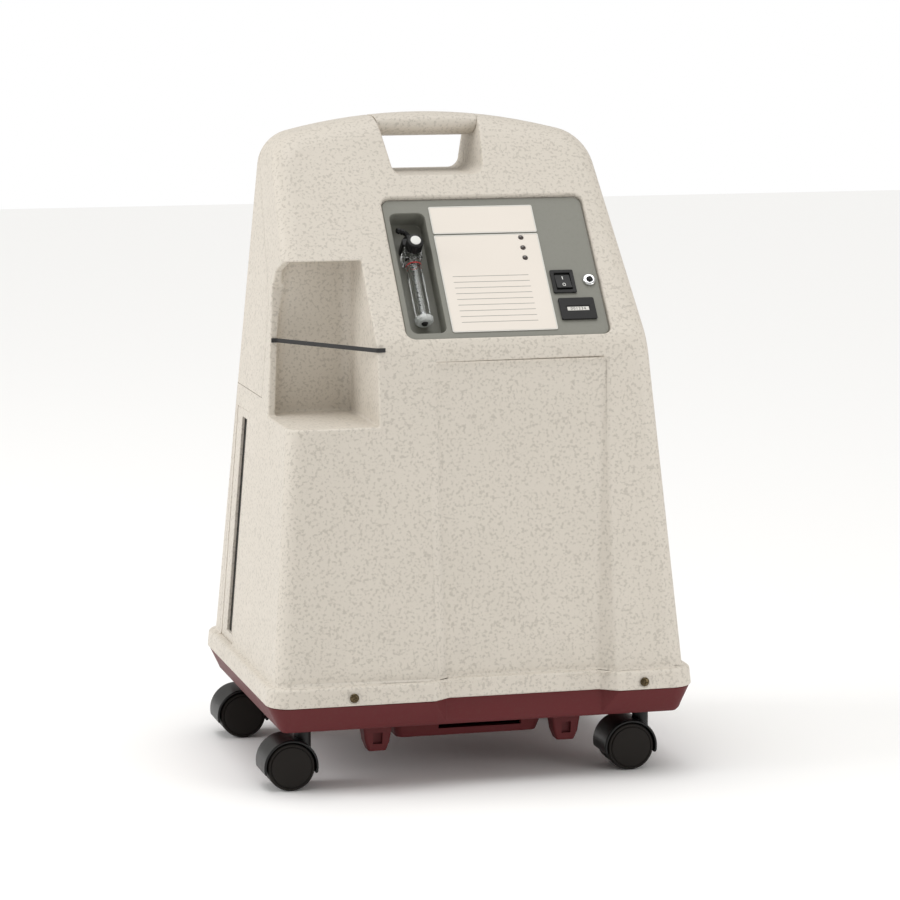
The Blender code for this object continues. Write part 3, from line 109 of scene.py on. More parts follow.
# ---- Panel; v runs up the rake from the bend, w out of the face ----
PANEL_LEFT, PANEL_RIGHT, PANEL_LOW, PANEL_HIGH = -0.069, 0.151, 0.012, 0.191
PANEL_CORNER = 0.010
PANEL_RECESS, PANEL_THICKNESS, PANEL_LEDGE = 0.0075, 0.003, 0.004
FACE = -PANEL_RECESS + CLEAR + PANEL_THICKNESS
POCKET_LEFT, POCKET_RIGHT, POCKET_LOW, POCKET_HIGH = -0.062, -0.024, 0.021, 0.173
POCKET_DEPTH, POCKET_WALL = 0.022, 0.0016
LABEL_LEFT, LABEL_RIGHT = -0.0185, 0.0945
LABEL_SPLIT, LABEL_LOW, LABEL_HIGH = 0.144, 0.0205, 0.180
LAMP_RADIUS, LAMP_X = 0.0026, 0.0755
LAMP_HEIGHTS = (0.138, 0.125, 0.112)
SWITCH_X, SWITCH_V, SWITCH_WIDTH, SWITCH_HEIGHT = 0.1108, 0.080, 0.025, 0.029
BREAKER_X, BREAKER_V, BREAKER_RADIUS = 0.1395, 0.081, 0.0068
METER_X, METER_V, METER_WIDTH, METER_HEIGHT = 0.120, 0.045, 0.0385, 0.027
TUBE_RADIUS, TUBE_LOW, TUBE_BORE = 0.0088, 0.040, 0.0042
KNOB_RADIUS, KNOB_V, HEAD_ABOVE_KNOB = 0.0090, 0.128, 0.014
PANEL_AT = (Matrix.Translation((0, -BASE_DEPTH / 2 + LIP + FRONT_DRAFT * (BEND_HEIGHT - LIP_BOTTOM),
                                BEND_HEIGHT))
            @ Matrix.Rotation(math.pi / 2 - UPPER_RAKE, 4, "X"))

# ---- Filters, pan and casters ----
FILTER_FRONT, FILTER_BACK = 0.118, 0.056
FILTER_LOW, FILTER_LENGTH = 0.020, 0.252
PAN_BOTTOM, PAN_FLOOR, PAN_RIM = 0.065, 0.004, 0.013
FLOOR = PAN_BOTTOM + PAN_FLOOR
TRAY_BOTTOM, TRAY_TAPER = 0.0385, 0.009
TRAY_HALF_WIDTH = BASE_WIDTH / 2 - 0.143
TRAY_HALF_DEPTH = BASE_DEPTH / 2 - 0.070
LUG_X, LUG_Y = BASE_WIDTH / 2 - 0.126, -BASE_DEPTH / 2 + 0.068
LUG_BOTTOM, LUG_WIDTH = 0.0305, 0.034
WHEEL_RADIUS, WHEEL_WIDTH, WHEEL_GAP = 0.025, 0.0195, 0.0065
HOOD_GAP, HOOD_WALL, TRAIL = 0.0015, 0.0022, 0.0165
STEM_RADIUS, STEM_LENGTH = 0.0055, 0.033
AXLE_RADIUS, AXLE_GAP = 0.003, 0.00008
CASTERS = {"front_left": (-1, -1), "front_right": (1, -1), "rear_left": (-1, 1), "rear_right": (1, 1)}
SCREWS = {"front_left": (-0.140, -1), "front_right": (0.170, -1), "rear_left": (-0.150, 1),
          "rear_right": (0.150, 1)}
SCREW_HEIGHT = 0.0085
SIDES = (("left", -1), ("right", 1))

# ---- Stage; a light's last value is a sun's angle or an area light's width ----
STAGE_SIZE = 14.0
LIGHTS = (("overhead", "SUN", (0, 0, 3.0), 1.5, 0.9), ("key", "AREA", (-2.8, 0.3, 1.6), 34, 1.6),
          ("fill", "AREA", (1.5, -1.6, 0.6), 9, 1.2))
LIGHT_TARGET = (0, 0, 0.33)
CAMERA_SPOT, CAMERA_TARGET = (-0.955, -3.662, 0.903), (0.0069, -0.0018, 0.3257)
CAMERA_SENSOR, CAMERA_LENS = 36, 143.6


# ---------------------------------------------------------------- settings

def colour(name, text, value):
    return FloatVectorProperty(name=name, description=text, default=value, size=3, min=0, max=1,
                               subtype="COLOR")


class ConcentratorFinish(bpy.types.PropertyGroup):
    """Colours of the visible pieces."""
    housing: colour("Housing", "Moulded housings, carry bar and filter frames", (0.6671, 0.6175, 0.5453))
    pan: colour("Base pan", "Moulded base pan", (0.1164, 0.0214, 0.0235))
    panel: colour("Panel", "Control panel plate", (0.2152, 0.2152, 0.1860))
    label: colour("Labels", "Label plates", (0.7680, 0.7075, 0.6371))
    black: colour("Black parts", "Switch, meter and knob", (0.0118, 0.0118, 0.0118))
    rubber: colour("Rubber", "Wheel treads", (0.0176, 0.0151, 0.0132))
    mark: colour("Mark", "Mark at the top of the flow tube", (0.55, 0.03, 0.03))


class ConcentratorForm(bpy.types.PropertyGroup):
    """Sizes that set how soft and how fine the surfaces are."""
    edge: FloatProperty(name="Edge rounding", description="Radius on the housing's cut edges", default=0.0024,
                        min=0.0005, max=0.004, unit="LENGTH")
    fineness: IntProperty(name="Corner steps", description="Steps round each corner of the cabinet",
                          default=8,
                          min=3, max=16)


class ConcentratorDetail(bpy.types.PropertyGroup):
    """Repeated details."""
    knob_ribs: IntProperty(name="Knob ribs", description="Grip ribs round the flow knob", default=24, min=8)
    tube_marks: IntProperty(name="Tube marks", description="Graduations on the flow tube", default=11, min=3)
    label_rules: IntProperty(name="Label rules", description="Fine rules on the lower label", default=9,
                             min=0)


def form():
    return bpy.context.scene.concentrator_form


def detail():
    return bpy.context.scene.concentrator_detail


# ---------------------------------------------------------------- finishes

def wire(tree, source, target):
    tree.links.new(source, target)


def new_group(name, inputs, outputs):
    """A shader group with its named sockets."""
    group = bpy.data.node_groups.new(name, "ShaderNodeTree")
    for label, kind, value in inputs:
        socket = group.interface.new_socket(name=label, in_out="INPUT", socket_type=kind)
        socket.default_value = value
    for label, kind in outputs:
        group.interface.new_socket(name=label, in_out="OUTPUT", socket_type=kind)
    return group, group.nodes.new("NodeGroupInput"), group.nodes.new("NodeGroupOutput")


def noise(tree, place, scale, detail_level=3.0, roughness=0.55):
    node = tree.nodes.new("ShaderNodeTexNoise")
    node.inputs["Detail"].default_value = detail_level
    node.inputs["Roughness"].default_value = roughness
    if isinstance(scale, (int, float)):
        node.inputs["Scale"].default_value = scale
    else:
        wire(tree, scale, node.inputs["Scale"])
    wire(tree, place, node.inputs["Vector"])
    return node.outputs["Fac"]


def ranged(tree, value, low, high, out_low=0.0, out_high=1.0):
    node = tree.nodes.new("ShaderNodeMapRange")
    for label, amount in (("From Min", low), ("From Max", high), ("To Min", out_low), ("To Max", out_high)):
        if isinstance(amount, (int, float)):
            node.inputs[label].default_value = amount
        else:
            wire(tree, amount, node.inputs[label])
    wire(tree, value, node.inputs["Value"])
    return node.outputs["Result"]


def maths(tree, operation, a, b):
    node = tree.nodes.new("ShaderNodeMath")
    node.operation = operation
    for socket, value in zip(node.inputs, (a, b)):
        if isinstance(value, (int, float)):
            socket.default_value = value
        else:
            wire(tree, value, socket)
    return node.outputs[0]


def blended(tree, factor, first, second, mode="MIX"):
    node = tree.nodes.new("ShaderNodeMix")
    node.data_type = "RGBA"
    node.blend_type = mode
    wire(tree, factor, node.inputs["Factor"])
    for socket, value in ((node.inputs["A"], first), (node.inputs["B"], second)):
        if isinstance(value, tuple):
            socket.default_value = value
        else:
            wire(tree, value, socket)
    return node.outputs["Result"]


def moulded_group():
    """Moulded plastic: fine texture, flecks, slow mottling, and grime that gathers low down."""
    name = "moulded_surface"
    if name in bpy.data.node_groups:
        return bpy.data.node_groups[name]
    group, given, made = new_group(
        name,
        (("Colour", "NodeSocketColor", (0.5, 0.5, 0.5, 1)), ("Grain Scale", "NodeSocketFloat", 900.0),
         ("Relief", "NodeSocketFloat", 0.2), ("Flecks", "NodeSocketFloat", 0.1),
         ("Mottle", "NodeSocketFloat", 0.06), ("Grime", "NodeSocketFloat", 0.1),
         ("Roughness", "NodeSocketFloat", 0.5), ("Roughness Spread", "NodeSocketFloat", 0.1)),
        (("Colour", "NodeSocketColor"), ("Roughness", "NodeSocketFloat"), ("Normal", "NodeSocketVector")))
    place = group.nodes.new("ShaderNodeTexCoord").outputs["Object"]
    grain = noise(group, place, given.outputs["Grain Scale"], 4.0)
    slow = noise(group, place, 9.0, 2.0)
    fleck = ranged(group, noise(group, place, 320.0, 2.0), 0.52, 0.64)
    dark = maths(group, "MULTIPLY", fleck, given.outputs["Flecks"])
    shade = blended(group, dark, given.outputs["Colour"], (0.10, 0.085, 0.06, 1))
    tone = ranged(group, slow, 0.3, 0.7, 0.0, given.outputs["Mottle"])
    shade = blended(group, tone, shade, (0.30, 0.27, 0.21, 1))
    split = group.nodes.new("ShaderNodeSeparateXYZ")
    wire(group, place, split.inputs[0])
    low = ranged(group, split.outputs["Z"], 0.30, 0.06)
    smudge = maths(group, "MULTIPLY", low, ranged(group, noise(group, place, 26.0, 5.0, 0.7), 0.42, 0.75))
    smudge = maths(group, "MULTIPLY", smudge, given.outputs["Grime"])
    shade = blended(group, smudge, shade, (0.07, 0.055, 0.04, 1))
    wire(group, shade, made.inputs["Colour"])
    uneven = maths(group, "MULTIPLY", maths(group, "SUBTRACT", noise(group, place, 60.0, 4.0), 0.5),
                   given.outputs["Roughness Spread"])
    wire(group, maths(group, "ADD", maths(group, "ADD", given.outputs["Roughness"], uneven),
                      maths(group, "MULTIPLY", smudge, 0.3)), made.inputs["Roughness"])
    bump = group.nodes.new("ShaderNodeBump")
    bump.inputs["Distance"].default_value = 0.0003
    wire(group, given.outputs["Relief"], bump.inputs["Strength"])
    wire(group, grain, bump.inputs["Height"])
    wire(group, bump.outputs["Normal"], made.inputs["Normal"])
    return group


def metal_group():
    """Machined metal: drawn streaks, light tarnish and uneven polish; on the screws the heavy, near-black
    tarnish is partly painted shade.
    """
    name = "machined_metal"
    if name in bpy.data.node_groups:
        return bpy.data.node_groups[name]
    group, given, made = new_group(
        name,
        (("Colour", "NodeSocketColor", (0.6, 0.6, 0.6, 1)),
         ("Tarnish And Shade Colour", "NodeSocketColor", (0.2, 0.2, 0.2, 1)),
         ("Tarnish And Shade", "NodeSocketFloat", 0.3), ("Streak Scale", "NodeSocketFloat", 300.0),
         ("Relief", "NodeSocketFloat", 0.1), ("Roughness", "NodeSocketFloat", 0.3)),
        (("Colour", "NodeSocketColor"), ("Roughness", "NodeSocketFloat"), ("Normal", "NodeSocketVector")))
    place = group.nodes.new("ShaderNodeTexCoord").outputs["Object"]
    stretch = group.nodes.new("ShaderNodeMapping")
    stretch.inputs["Scale"].default_value = (1, 1, 0.08)
    wire(group, place, stretch.inputs["Vector"])
    streaks = noise(group, stretch.outputs[0], given.outputs["Streak Scale"], 3.0)
    # Patches pulled towards the tarnish colour: tarnish, and on the screws partly painted shade of their
    # seats.
    tarnish_and_shade_patches = maths(group, "MULTIPLY", ranged(group, noise(group, place, 90.0, 5.0), 0.45, 0.75),
                    given.outputs["Tarnish And Shade"])
    wire(group, blended(group, tarnish_and_shade_patches, given.outputs["Colour"], given.outputs["Tarnish And Shade Colour"]),
         made.inputs["Colour"])
    uneven = maths(group, "MULTIPLY", maths(group, "SUBTRACT", streaks, 0.5), 0.22)
    wire(group, maths(group, "ADD", maths(group, "ADD", given.outputs["Roughness"], uneven),
                      maths(group, "MULTIPLY", tarnish_and_shade_patches, 0.3)), made.inputs["Roughness"])
    bump = group.nodes.new("ShaderNodeBump")
    bump.inputs["Distance"].default_value = 0.0002
    wire(group, given.outputs["Relief"], bump.inputs["Strength"])
    wire(group, streaks, bump.inputs["Height"])
    wire(group, bump.outputs["Normal"], made.inputs["Normal"])
    return group


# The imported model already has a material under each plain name.
FINISHED = "_finish"


def start_material(name, group, values, constants):
    """A material with one surface group placed before its shader."""
    if name + FINISHED in bpy.data.materials:
        return bpy.data.materials[name + FINISHED]
    material = bpy.data.materials.new(name + FINISHED)
    material.use_nodes = True
    tree = material.node_tree
    shader = tree.nodes["Principled BSDF"]
    surface = tree.nodes.new("ShaderNodeGroup")
    surface.node_tree = group
    for label, value in values.items():
        surface.inputs[label].default_value = value
    wire(tree, surface.outputs["Colour"], shader.inputs["Base Color"])
    wire(tree, surface.outputs["Roughness"], shader.inputs["Roughness"])
    wire(tree, surface.outputs["Normal"], shader.inputs["Normal"])
    for label, value in constants.items():
        shader.inputs[label].default_value = value
    return material


def chosen(label):
    return (*getattr(bpy.context.scene.concentrator_finish, label), 1)


def plastic(name, shade, rough=0.5, grain=900.0, relief=0.2, flecks=0.0, mottle=0.05, grime=0.1, spread=0.1,
            **constants):
    return start_material(name, moulded_group(), {
        "Colour": shade, "Grain Scale": grain, "Relief": relief, "Flecks": flecks, "Mottle": mottle,
        "Grime": grime, "Roughness": rough, "Roughness Spread": spread}, constants)


def metal(name, shade, tarnish_and_shade_colour, rough=0.3, tarnish_and_shade=0.3, streaks=300.0, relief=0.1):
    return start_material(name, metal_group(), {
        "Colour": (*shade, 1), "Tarnish And Shade Colour": (*tarnish_and_shade_colour, 1), "Tarnish And Shade": tarnish_and_shade,
        "Streak Scale": streaks, "Relief": relief, "Roughness": rough}, {"Metallic": 1.0})


def housing_beige():
    return plastic("housing_beige", chosen("housing"), 0.50, 1150.0, 0.30, 0.24, 0.05, 0.08, 0.12,
                   **{"Specular IOR Level": 0.4})


def pan_burgundy():
    return plastic("pan_burgundy", chosen("pan"), 0.48, 950.0, 0.25, 0.05, 0.0, 0.05, 0.14,
                   **{"Specular IOR Level": 0.16})


def panel_grey():
    return plastic("panel_grey", chosen("panel"), 0.48, 1500.0, 0.22, 0.06, 0.05, 0.0, 0.10)


def label_film():
    return plastic("label_film", chosen("label"), 0.30, 700.0, 0.04, 0.0, 0.03, 0.0, 0.06)


def label_border():
    return plastic("label_border", (0.68, 0.665, 0.62, 1), 0.28, 700.0, 0.03, 0.0, 0.02, 0.0, 0.05)


def black_plastic():
    return plastic("black_plastic", chosen("black"), 0.34, 1300.0, 0.12, 0.0, 0.0, 0.0, 0.12,
                   **{"Specular IOR Level": 0.22})


def mark_white():
    return plastic("mark_white", (0.75, 0.75, 0.72, 1), 0.4, 1500.0, 0.03, 0.0, 0.02, 0.0, 0.05)


def rule_grey():
    return plastic("rule_grey", (0.27, 0.25, 0.23, 1), 0.4, 1500.0, 0.03, 0.0, 0.0, 0.0, 0.05)


def mark_red():
    return plastic("mark_red", chosen("mark"), 0.4, 1500.0, 0.03, 0.0, 0.0, 0.0, 0.05)


def wheel_rubber():
    return plastic("wheel_rubber", chosen("rubber"), 0.55, 700.0, 0.20, 0.0, 0.0, 0.0, 0.15,
                   **{"Specular IOR Level": 0.12})


def caster_hood():
    return plastic("caster_hood", (0.0045, 0.0045, 0.0044, 1), 0.36, 900.0, 0.14, 0.0, 0.0, 0.0, 0.12,
                   **{"Specular IOR Level": 0.3})


def strap_rubber():
    return plastic("strap_rubber", (0.010, 0.010, 0.011, 1), 0.5, 1800.0, 0.25, 0.0, 0.02, 0.0, 0.12)


def lamp_lens():
    return plastic("lamp_lens", (0.035, 0.022, 0.018, 1), 0.12, 500.0, 0.02, 0.0, 0.0, 0.0, 0.04,
                   **{"Coat Weight": 0.6})


def filter_foam():
    return plastic("filter_foam", (0.020, 0.019, 0.018, 1), 0.95, 420.0, 1.0, 0.0, 0.10, 0.0, 0.05)


def board_green():
    return plastic("board_green", (0.020, 0.130, 0.050, 1), 0.45, 260.0, 0.30, 0.25, 0.10, 0.0, 0.15)


# Dark brass with heavy, near-black tarnish: partly tarnish, partly painted shade of the seat round each head.
def screw_brass():
    return metal("screw_brass", (0.11, 0.082, 0.045), (0.02, 0.015, 0.01), 0.24, 0.9, 500.0, 0.15)


def chrome():
    return metal("chrome", (0.78, 0.79, 0.80), (0.35, 0.35, 0.36), 0.10, 0.12, 400.0, 0.04)


def steel():
    return metal("steel", (0.44, 0.45, 0.46), (0.16, 0.14, 0.13), 0.32, 0.35, 350.0, 0.12)


def alloy():
    return metal("alloy", (0.56, 0.57, 0.58), (0.28, 0.28, 0.28), 0.42, 0.30, 260.0, 0.20)


def copper_tube():
    return metal("copper_tube", (0.62, 0.29, 0.17), (0.20, 0.09, 0.06), 0.30, 0.45, 420.0, 0.12)


def clear_plastic():
    return plastic("clear_plastic", (0.97, 0.985, 0.98, 1), 0.025, 300.0, 0.03, 0.0, 0.0, 0.0, 0.02,
                   **{"Transmission Weight": 1.0, "IOR": 1.47})


# Milky base colour under half transmission makes the clear foot read bright: a painted highlight.
def clear_painted_highlight():
    return plastic("clear_painted_highlight", (0.86, 0.885, 0.87, 1), 0.14, 300.0, 0.06, 0.0, 0.0, 0.0, 0.04,
                   **{"Transmission Weight": 0.45, "IOR": 1.47})


# ---------------------------------------------------------------- tools

def mesh_from(name, work):
    """Turn a bmesh into a mesh with no doubled points and its faces outwards."""
    bmesh.ops.remove_doubles(work, verts=work.verts, dist=1e-6)
    bmesh.ops.dissolve_degenerate(work, edges=work.edges, dist=1e-6)
    bmesh.ops.recalc_face_normals(work, faces=work.faces)
    mesh = bpy.data.meshes.new(name)
    work.to_mesh(mesh)
    work.free()
    return mesh


def solid(name, mesh, place=None):
    """Put a mesh in the scene, with its place in the mesh."""
    if place is not None:
        mesh.transform(place)
    piece = bpy.data.objects.new(name, mesh)
    bpy.context.scene.collection.objects.link(piece)
    return piece


def block(name, low, high, place=None):
    low, high = Vector(low), Vector(high)
    work = bmesh.new()
    bmesh.ops.create_cube(work, size=1)
    bmesh.ops.scale(work, vec=high - low, verts=work.verts)
    bmesh.ops.translate(work, vec=(low + high) / 2, verts=work.verts)
    return solid(name, mesh_from(name, work), place)


def rod(name, radius, start, end, place=None, segments=48, end_radius=None):
    start, end = Vector(start), Vector(end)
    run = end - start
    work = bmesh.new()
    bmesh.ops.create_cone(work, cap_ends=True, segments=segments, radius1=radius,
                          radius2=radius if end_radius is None else end_radius, depth=run.length)
    turn = run.to_track_quat("Z", "Y").to_matrix().to_4x4()
    bmesh.ops.transform(work, matrix=Matrix.Translation((start + end) / 2) @ turn, verts=work.verts)
    return solid(name, mesh_from(name, work), place)


def loft(name, rings, place=None):
    """A closed solid through rings that have the same number of points."""
    work = bmesh.new()
    rows = [[work.verts.new(point) for point in ring] for ring in rings]
    count = len(rows[0])
    for low, high in zip(rows, rows[1:]):
        for i in range(count):
            j = (i + 1) % count
            work.faces.new((low[i], low[j], high[j], high[i]))
    work.faces.new(list(reversed(rows[0])))
    work.faces.new(rows[-1])
    return solid(name, mesh_from(name, work), place)


def prism(name, outline, axis, start, end, place=None):
    spots = {"X": lambda a, b, t: (t, a, b), "Y": lambda a, b, t: (a, t, b), "Z": lambda a, b,
             t: (a, b, t)}[axis]
    work = bmesh.new()
    face = work.faces.new([work.verts.new(spots(a, b, start)) for a, b in outline])
    grown = bmesh.ops.extrude_face_region(work, geom=[face])
    moved = [item for item in grown["geom"] if isinstance(item, bmesh.types.BMVert)]
    bmesh.ops.translate(work, vec=spots(0, 0, end - start), verts=moved)
    return solid(name, mesh_from(name, work), place)


def turned(name, profile, place=None, segments=48):
    """A closed piece turned about Z from (radius, height) points whose ends lie on the axis."""
    work = bmesh.new()
    rings = []
    for radius, height in profile:
        if radius < 1e-7:
            rings.append([work.verts.new((0, 0, height))])
        else:
            rings.append([work.verts.new((radius * math.cos(math.tau * i / segments),
                                          radius * math.sin(math.tau * i / segments), height))
                          for i in range(segments)])
    closed = len(rings[0]) > 1 and len(rings[-1]) > 1
    pairs = list(zip(rings, rings[1:])) + ([(rings[-1], rings[0])] if closed else [])
    for low, high in pairs:
        for i in range(segments):
            j = (i + 1) % segments
            corners = [low[i % len(low)], low[j % len(low)], high[j % len(high)], high[i % len(high)]]
            corners = [v for n, v in enumerate(corners) if v not in corners[:n]]
            if len(corners) > 2:
                work.faces.new(corners)
    return solid(name, mesh_from(name, work), place)


def rounded(low_a, high_a, low_b, high_b, radius, segments=8):
    """A rectangle's outline with round corners."""
    points = []
    for centre_a, centre_b, first in ((high_a - radius, high_b - radius, 0),
                                      (low_a + radius, high_b - radius, 90),
                                      (low_a + radius, low_b + radius, 180),
                                      (high_a - radius, low_b + radius, 270)):
        for step in range(segments + 1):
            angle = math.radians(first + 90 * step / segments)
            points.append((centre_a + radius * math.cos(angle), centre_b + radius * math.sin(angle)))
    return points


def settle(piece):
    """Apply every modifier, and leave a plain mesh."""
    graph = bpy.context.evaluated_depsgraph_get()
    mesh = bpy.data.meshes.new_from_object(piece.evaluated_get(graph))
    piece.modifiers.clear()
    old, piece.data = piece.data, mesh
    bpy.data.meshes.remove(old)
    return piece


def carve(piece, cutters, operation="DIFFERENCE"):
    """Boolean a piece with solids, which are removed after use."""
    for cutter in cutters:
        boolean = piece.modifiers.new("carve", "BOOLEAN")
        boolean.operation = operation
        boolean.object = cutter
        boolean.solver = "EXACT"
    settle(piece)
    if not piece.data.polygons:
        raise RuntimeError(f"{piece.name} came out empty")
    for cutter in cutters:
        bpy.data.objects.remove(cutter, do_unlink=True)
    return piece


def tidy_mesh(piece, merge=0.0, flat=0.6):
    """Merge short edges and flat neighbours, so that edges round evenly."""
    work = bmesh.new()
    work.from_mesh(piece.data)
    bmesh.ops.dissolve_limit(work, angle_limit=math.radians(flat), verts=work.verts, edges=work.edges)
    if merge:
        sharp = {v for e in work.edges if e.is_manifold and e.calc_face_angle(0) > 0.45 for v in e.verts}
        bmesh.ops.remove_doubles(work, verts=list(sharp), dist=merge)
        bmesh.ops.dissolve_degenerate(work, edges=work.edges, dist=1e-5)
    work.to_mesh(piece.data)
    work.free()
    return piece


def soften(piece, width, segments=3, angle=32, clamp=True):
    """Round every edge sharper than an angle."""
    edge = piece.modifiers.new("edges", "BEVEL")
    edge.width = width
    edge.segments = segments
    edge.limit_method = "ANGLE"
    edge.angle_limit = math.radians(angle)
    edge.use_clamp_overlap = clamp
    edge.miter_outer = "MITER_ARC"
    return settle(piece)


def sharp_edges(piece, angle=28):
    """Both ends of every edge sharper than an angle."""
    work = bmesh.new()
    work.from_mesh(piece.data)
    found = [(e.verts[0].co.copy(), e.verts[1].co.copy()) for e in work.edges
             if e.is_manifold and e.calc_face_angle(0) > math.radians(angle)]
    work.free()
    return np.array([list(a) + list(b) for a, b in found])


def round_rims(piece, rims, width, segments=4, merge=0.0009):
    """Round only the edges that lie on the given rims."""
    starts, runs = rims[:, :3], rims[:, 3:] - rims[:, :3]
    squares = np.maximum((runs ** 2).sum(1), 1e-12)

    def on_rim(edge):
        if not edge.is_manifold or edge.calc_face_angle(0) < math.radians(25):
            return False
        spot = np.array((edge.verts[0].co + edge.verts[1].co) / 2)
        share = np.clip(((spot - starts) * runs).sum(1) / squares, 0, 1)
        return (((starts + runs * share[:, None] - spot) ** 2).sum(1)).min() < 1e-9

    work = bmesh.new()
    work.from_mesh(piece.data)
    bmesh.ops.dissolve_limit(work, angle_limit=math.radians(0.6), verts=work.verts, edges=work.edges)
    near = {v for e in work.edges if on_rim(e) for v in e.verts}
    bmesh.ops.remove_doubles(work, verts=list(near), dist=merge)
    bmesh.ops.dissolve_degenerate(work, edges=work.edges, dist=1e-5)
    weight = work.edges.layers.float.new("bevel_weight_edge")
    for edge in work.edges:
        edge[weight] = 1.0 if on_rim(edge) else 0.0
    work.to_mesh(piece.data)
    work.free()
    rounding = piece.modifiers.new("rims", "BEVEL")
    rounding.limit_method = "WEIGHT"
    rounding.width = width
    rounding.segments = segments
    rounding.use_clamp_overlap = False
    return settle(piece)


def finish_piece(piece, material, body, nodes=(), smooth=38, weighted=True):
    """Give a piece its finish, its shading and its body, and hide the imported nodes it stands for."""
    piece.data.materials.clear()
    piece.data.materials.append(material)
    piece.data.shade_smooth()
    piece.data.set_sharp_from_angle(angle=math.radians(smooth))
    if weighted:
        normals = piece.modifiers.new("normals", "WEIGHTED_NORMAL")
        normals.keep_sharp = True
        settle(piece)
    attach(piece, body)
    if nodes:
        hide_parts(*nodes)
    return piece


def finish_node(node, material):
    """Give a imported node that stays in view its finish."""
    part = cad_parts[node]
    part.data.materials.clear()
    part.data.materials.append(material)


# ---------------------------------------------------------------- repeats

def repeat_tree(name, sizes, build):
    """A geometry tree with named sizes that ends in real geometry with a material."""
    if name in bpy.data.node_groups:
        return bpy.data.node_groups[name]
    tree = bpy.data.node_groups.new(name, "GeometryNodeTree")
    for label, kind, value in sizes:
        socket = tree.interface.new_socket(name=label, in_out="INPUT", socket_type=kind)
        if value is not None:
            socket.default_value = value
    tree.interface.new_socket(name="Finish", in_out="INPUT", socket_type="NodeSocketMaterial")
    tree.interface.new_socket(name="Geometry", in_out="OUTPUT", socket_type="NodeSocketGeometry")
    given, made = tree.nodes.new("NodeGroupInput"), tree.nodes.new("NodeGroupOutput")
    instances = build(tree, given)
    real = tree.nodes.new("GeometryNodeRealizeInstances")
    coat = tree.nodes.new("GeometryNodeSetMaterial")
    wire(tree, instances, real.inputs[0])
    wire(tree, real.outputs[0], coat.inputs["Geometry"])
    wire(tree, given.outputs["Finish"], coat.inputs["Material"])
    wire(tree, coat.outputs[0], made.inputs["Geometry"])
    return tree


def bar_row(tree, given):
    """Bars along a line, one pitch apart."""
    line = tree.nodes.new("GeometryNodeMeshLine")
    cube = tree.nodes.new("GeometryNodeMeshCube")
    instance = tree.nodes.new("GeometryNodeInstanceOnPoints")
    wire(tree, given.outputs["Count"], line.inputs["Count"])
    wire(tree, given.outputs["Pitch"], line.inputs["Offset"])
    wire(tree, given.outputs["Start"], line.inputs["Start Location"])
    wire(tree, given.outputs["Bar Size"], cube.inputs["Size"])
    wire(tree, line.outputs["Mesh"], instance.inputs["Points"])
    wire(tree, cube.outputs["Mesh"], instance.inputs["Instance"])
    return instance.outputs[0]


def rib_ring(tree, given):
    """Ribs round a circle, each facing out."""
    ring = tree.nodes.new("GeometryNodeMeshCircle")
    cube = tree.nodes.new("GeometryNodeMeshCube")
    instance = tree.nodes.new("GeometryNodeInstanceOnPoints")
    place = tree.nodes.new("GeometryNodeInputPosition")
    facing = tree.nodes.new("FunctionNodeAlignEulerToVector")
    facing.axis = "X"
    facing.pivot_axis = "Z"
    wire(tree, given.outputs["Count"], ring.inputs["Vertices"])
    wire(tree, given.outputs["Radius"], ring.inputs["Radius"])
    wire(tree, given.outputs["Rib Size"], cube.inputs["Size"])
    wire(tree, ring.outputs["Mesh"], instance.inputs["Points"])
    wire(tree, cube.outputs["Mesh"], instance.inputs["Instance"])
    wire(tree, place.outputs[0], facing.inputs["Vector"])
    wire(tree, facing.outputs[0], instance.inputs["Rotation"])
    return instance.outputs[0]


def placed_copies(tree, given):
    """Copies of a pattern on the given points, each turned by its own angles."""
    info = tree.nodes.new("GeometryNodeObjectInfo")
    turn = tree.nodes.new("GeometryNodeInputNamedAttribute")
    turn.data_type = "FLOAT_VECTOR"
    turn.inputs["Name"].default_value = "turn"
    instance = tree.nodes.new("GeometryNodeInstanceOnPoints")
    wire(tree, given.outputs["Pattern"], info.inputs["Object"])
    wire(tree, given.outputs["Points"], instance.inputs["Points"])
    wire(tree, info.outputs["Geometry"], instance.inputs["Instance"])
    wire(tree, turn.outputs["Attribute"], instance.inputs["Rotation"])
    wire(tree, given.outputs["Size"], instance.inputs["Scale"])
    return instance.outputs[0]


PLACED_SIZES = (("Points", "NodeSocketGeometry", None), ("Pattern", "NodeSocketObject", None),
                ("Size", "NodeSocketFloat", 1.0))
BAR_SIZES = (("Count", "NodeSocketInt", 5), ("Start", "NodeSocketVector", (0, 0, 0)),
             ("Pitch", "NodeSocketVector", (0, 0, 0.01)),
             ("Bar Size", "NodeSocketVector", (0.01, 0.01, 0.01)))
RIB_SIZES = (("Count", "NodeSocketInt", 12), ("Radius", "NodeSocketFloat", 0.01),
             ("Rib Size", "NodeSocketVector", (0.001, 0.001, 0.001)))


def repeated(name, tree, values, material, place=None, mesh=None):
    """Run a tree with its sizes, and keep the result as a plain mesh."""
    piece = solid(name, mesh or bpy.data.meshes.new(name))
    nodes = piece.modifiers.new("repeat", "NODES")
    nodes.node_group = tree
    sockets = {item.name: item.identifier for item in tree.interface.items_tree if item.in_out == "INPUT"}
    for label, value in {**values, "Finish": material}.items():
        nodes[sockets[label]] = value
    settle(piece)
    if place is not None:
        piece.data.transform(place)
    return piece


# ---------------------------------------------------------------- cabinet form

def half_width(z):
    return BASE_WIDTH / 2 - LIP - SIDE_DRAFT * (z - LIP_BOTTOM)


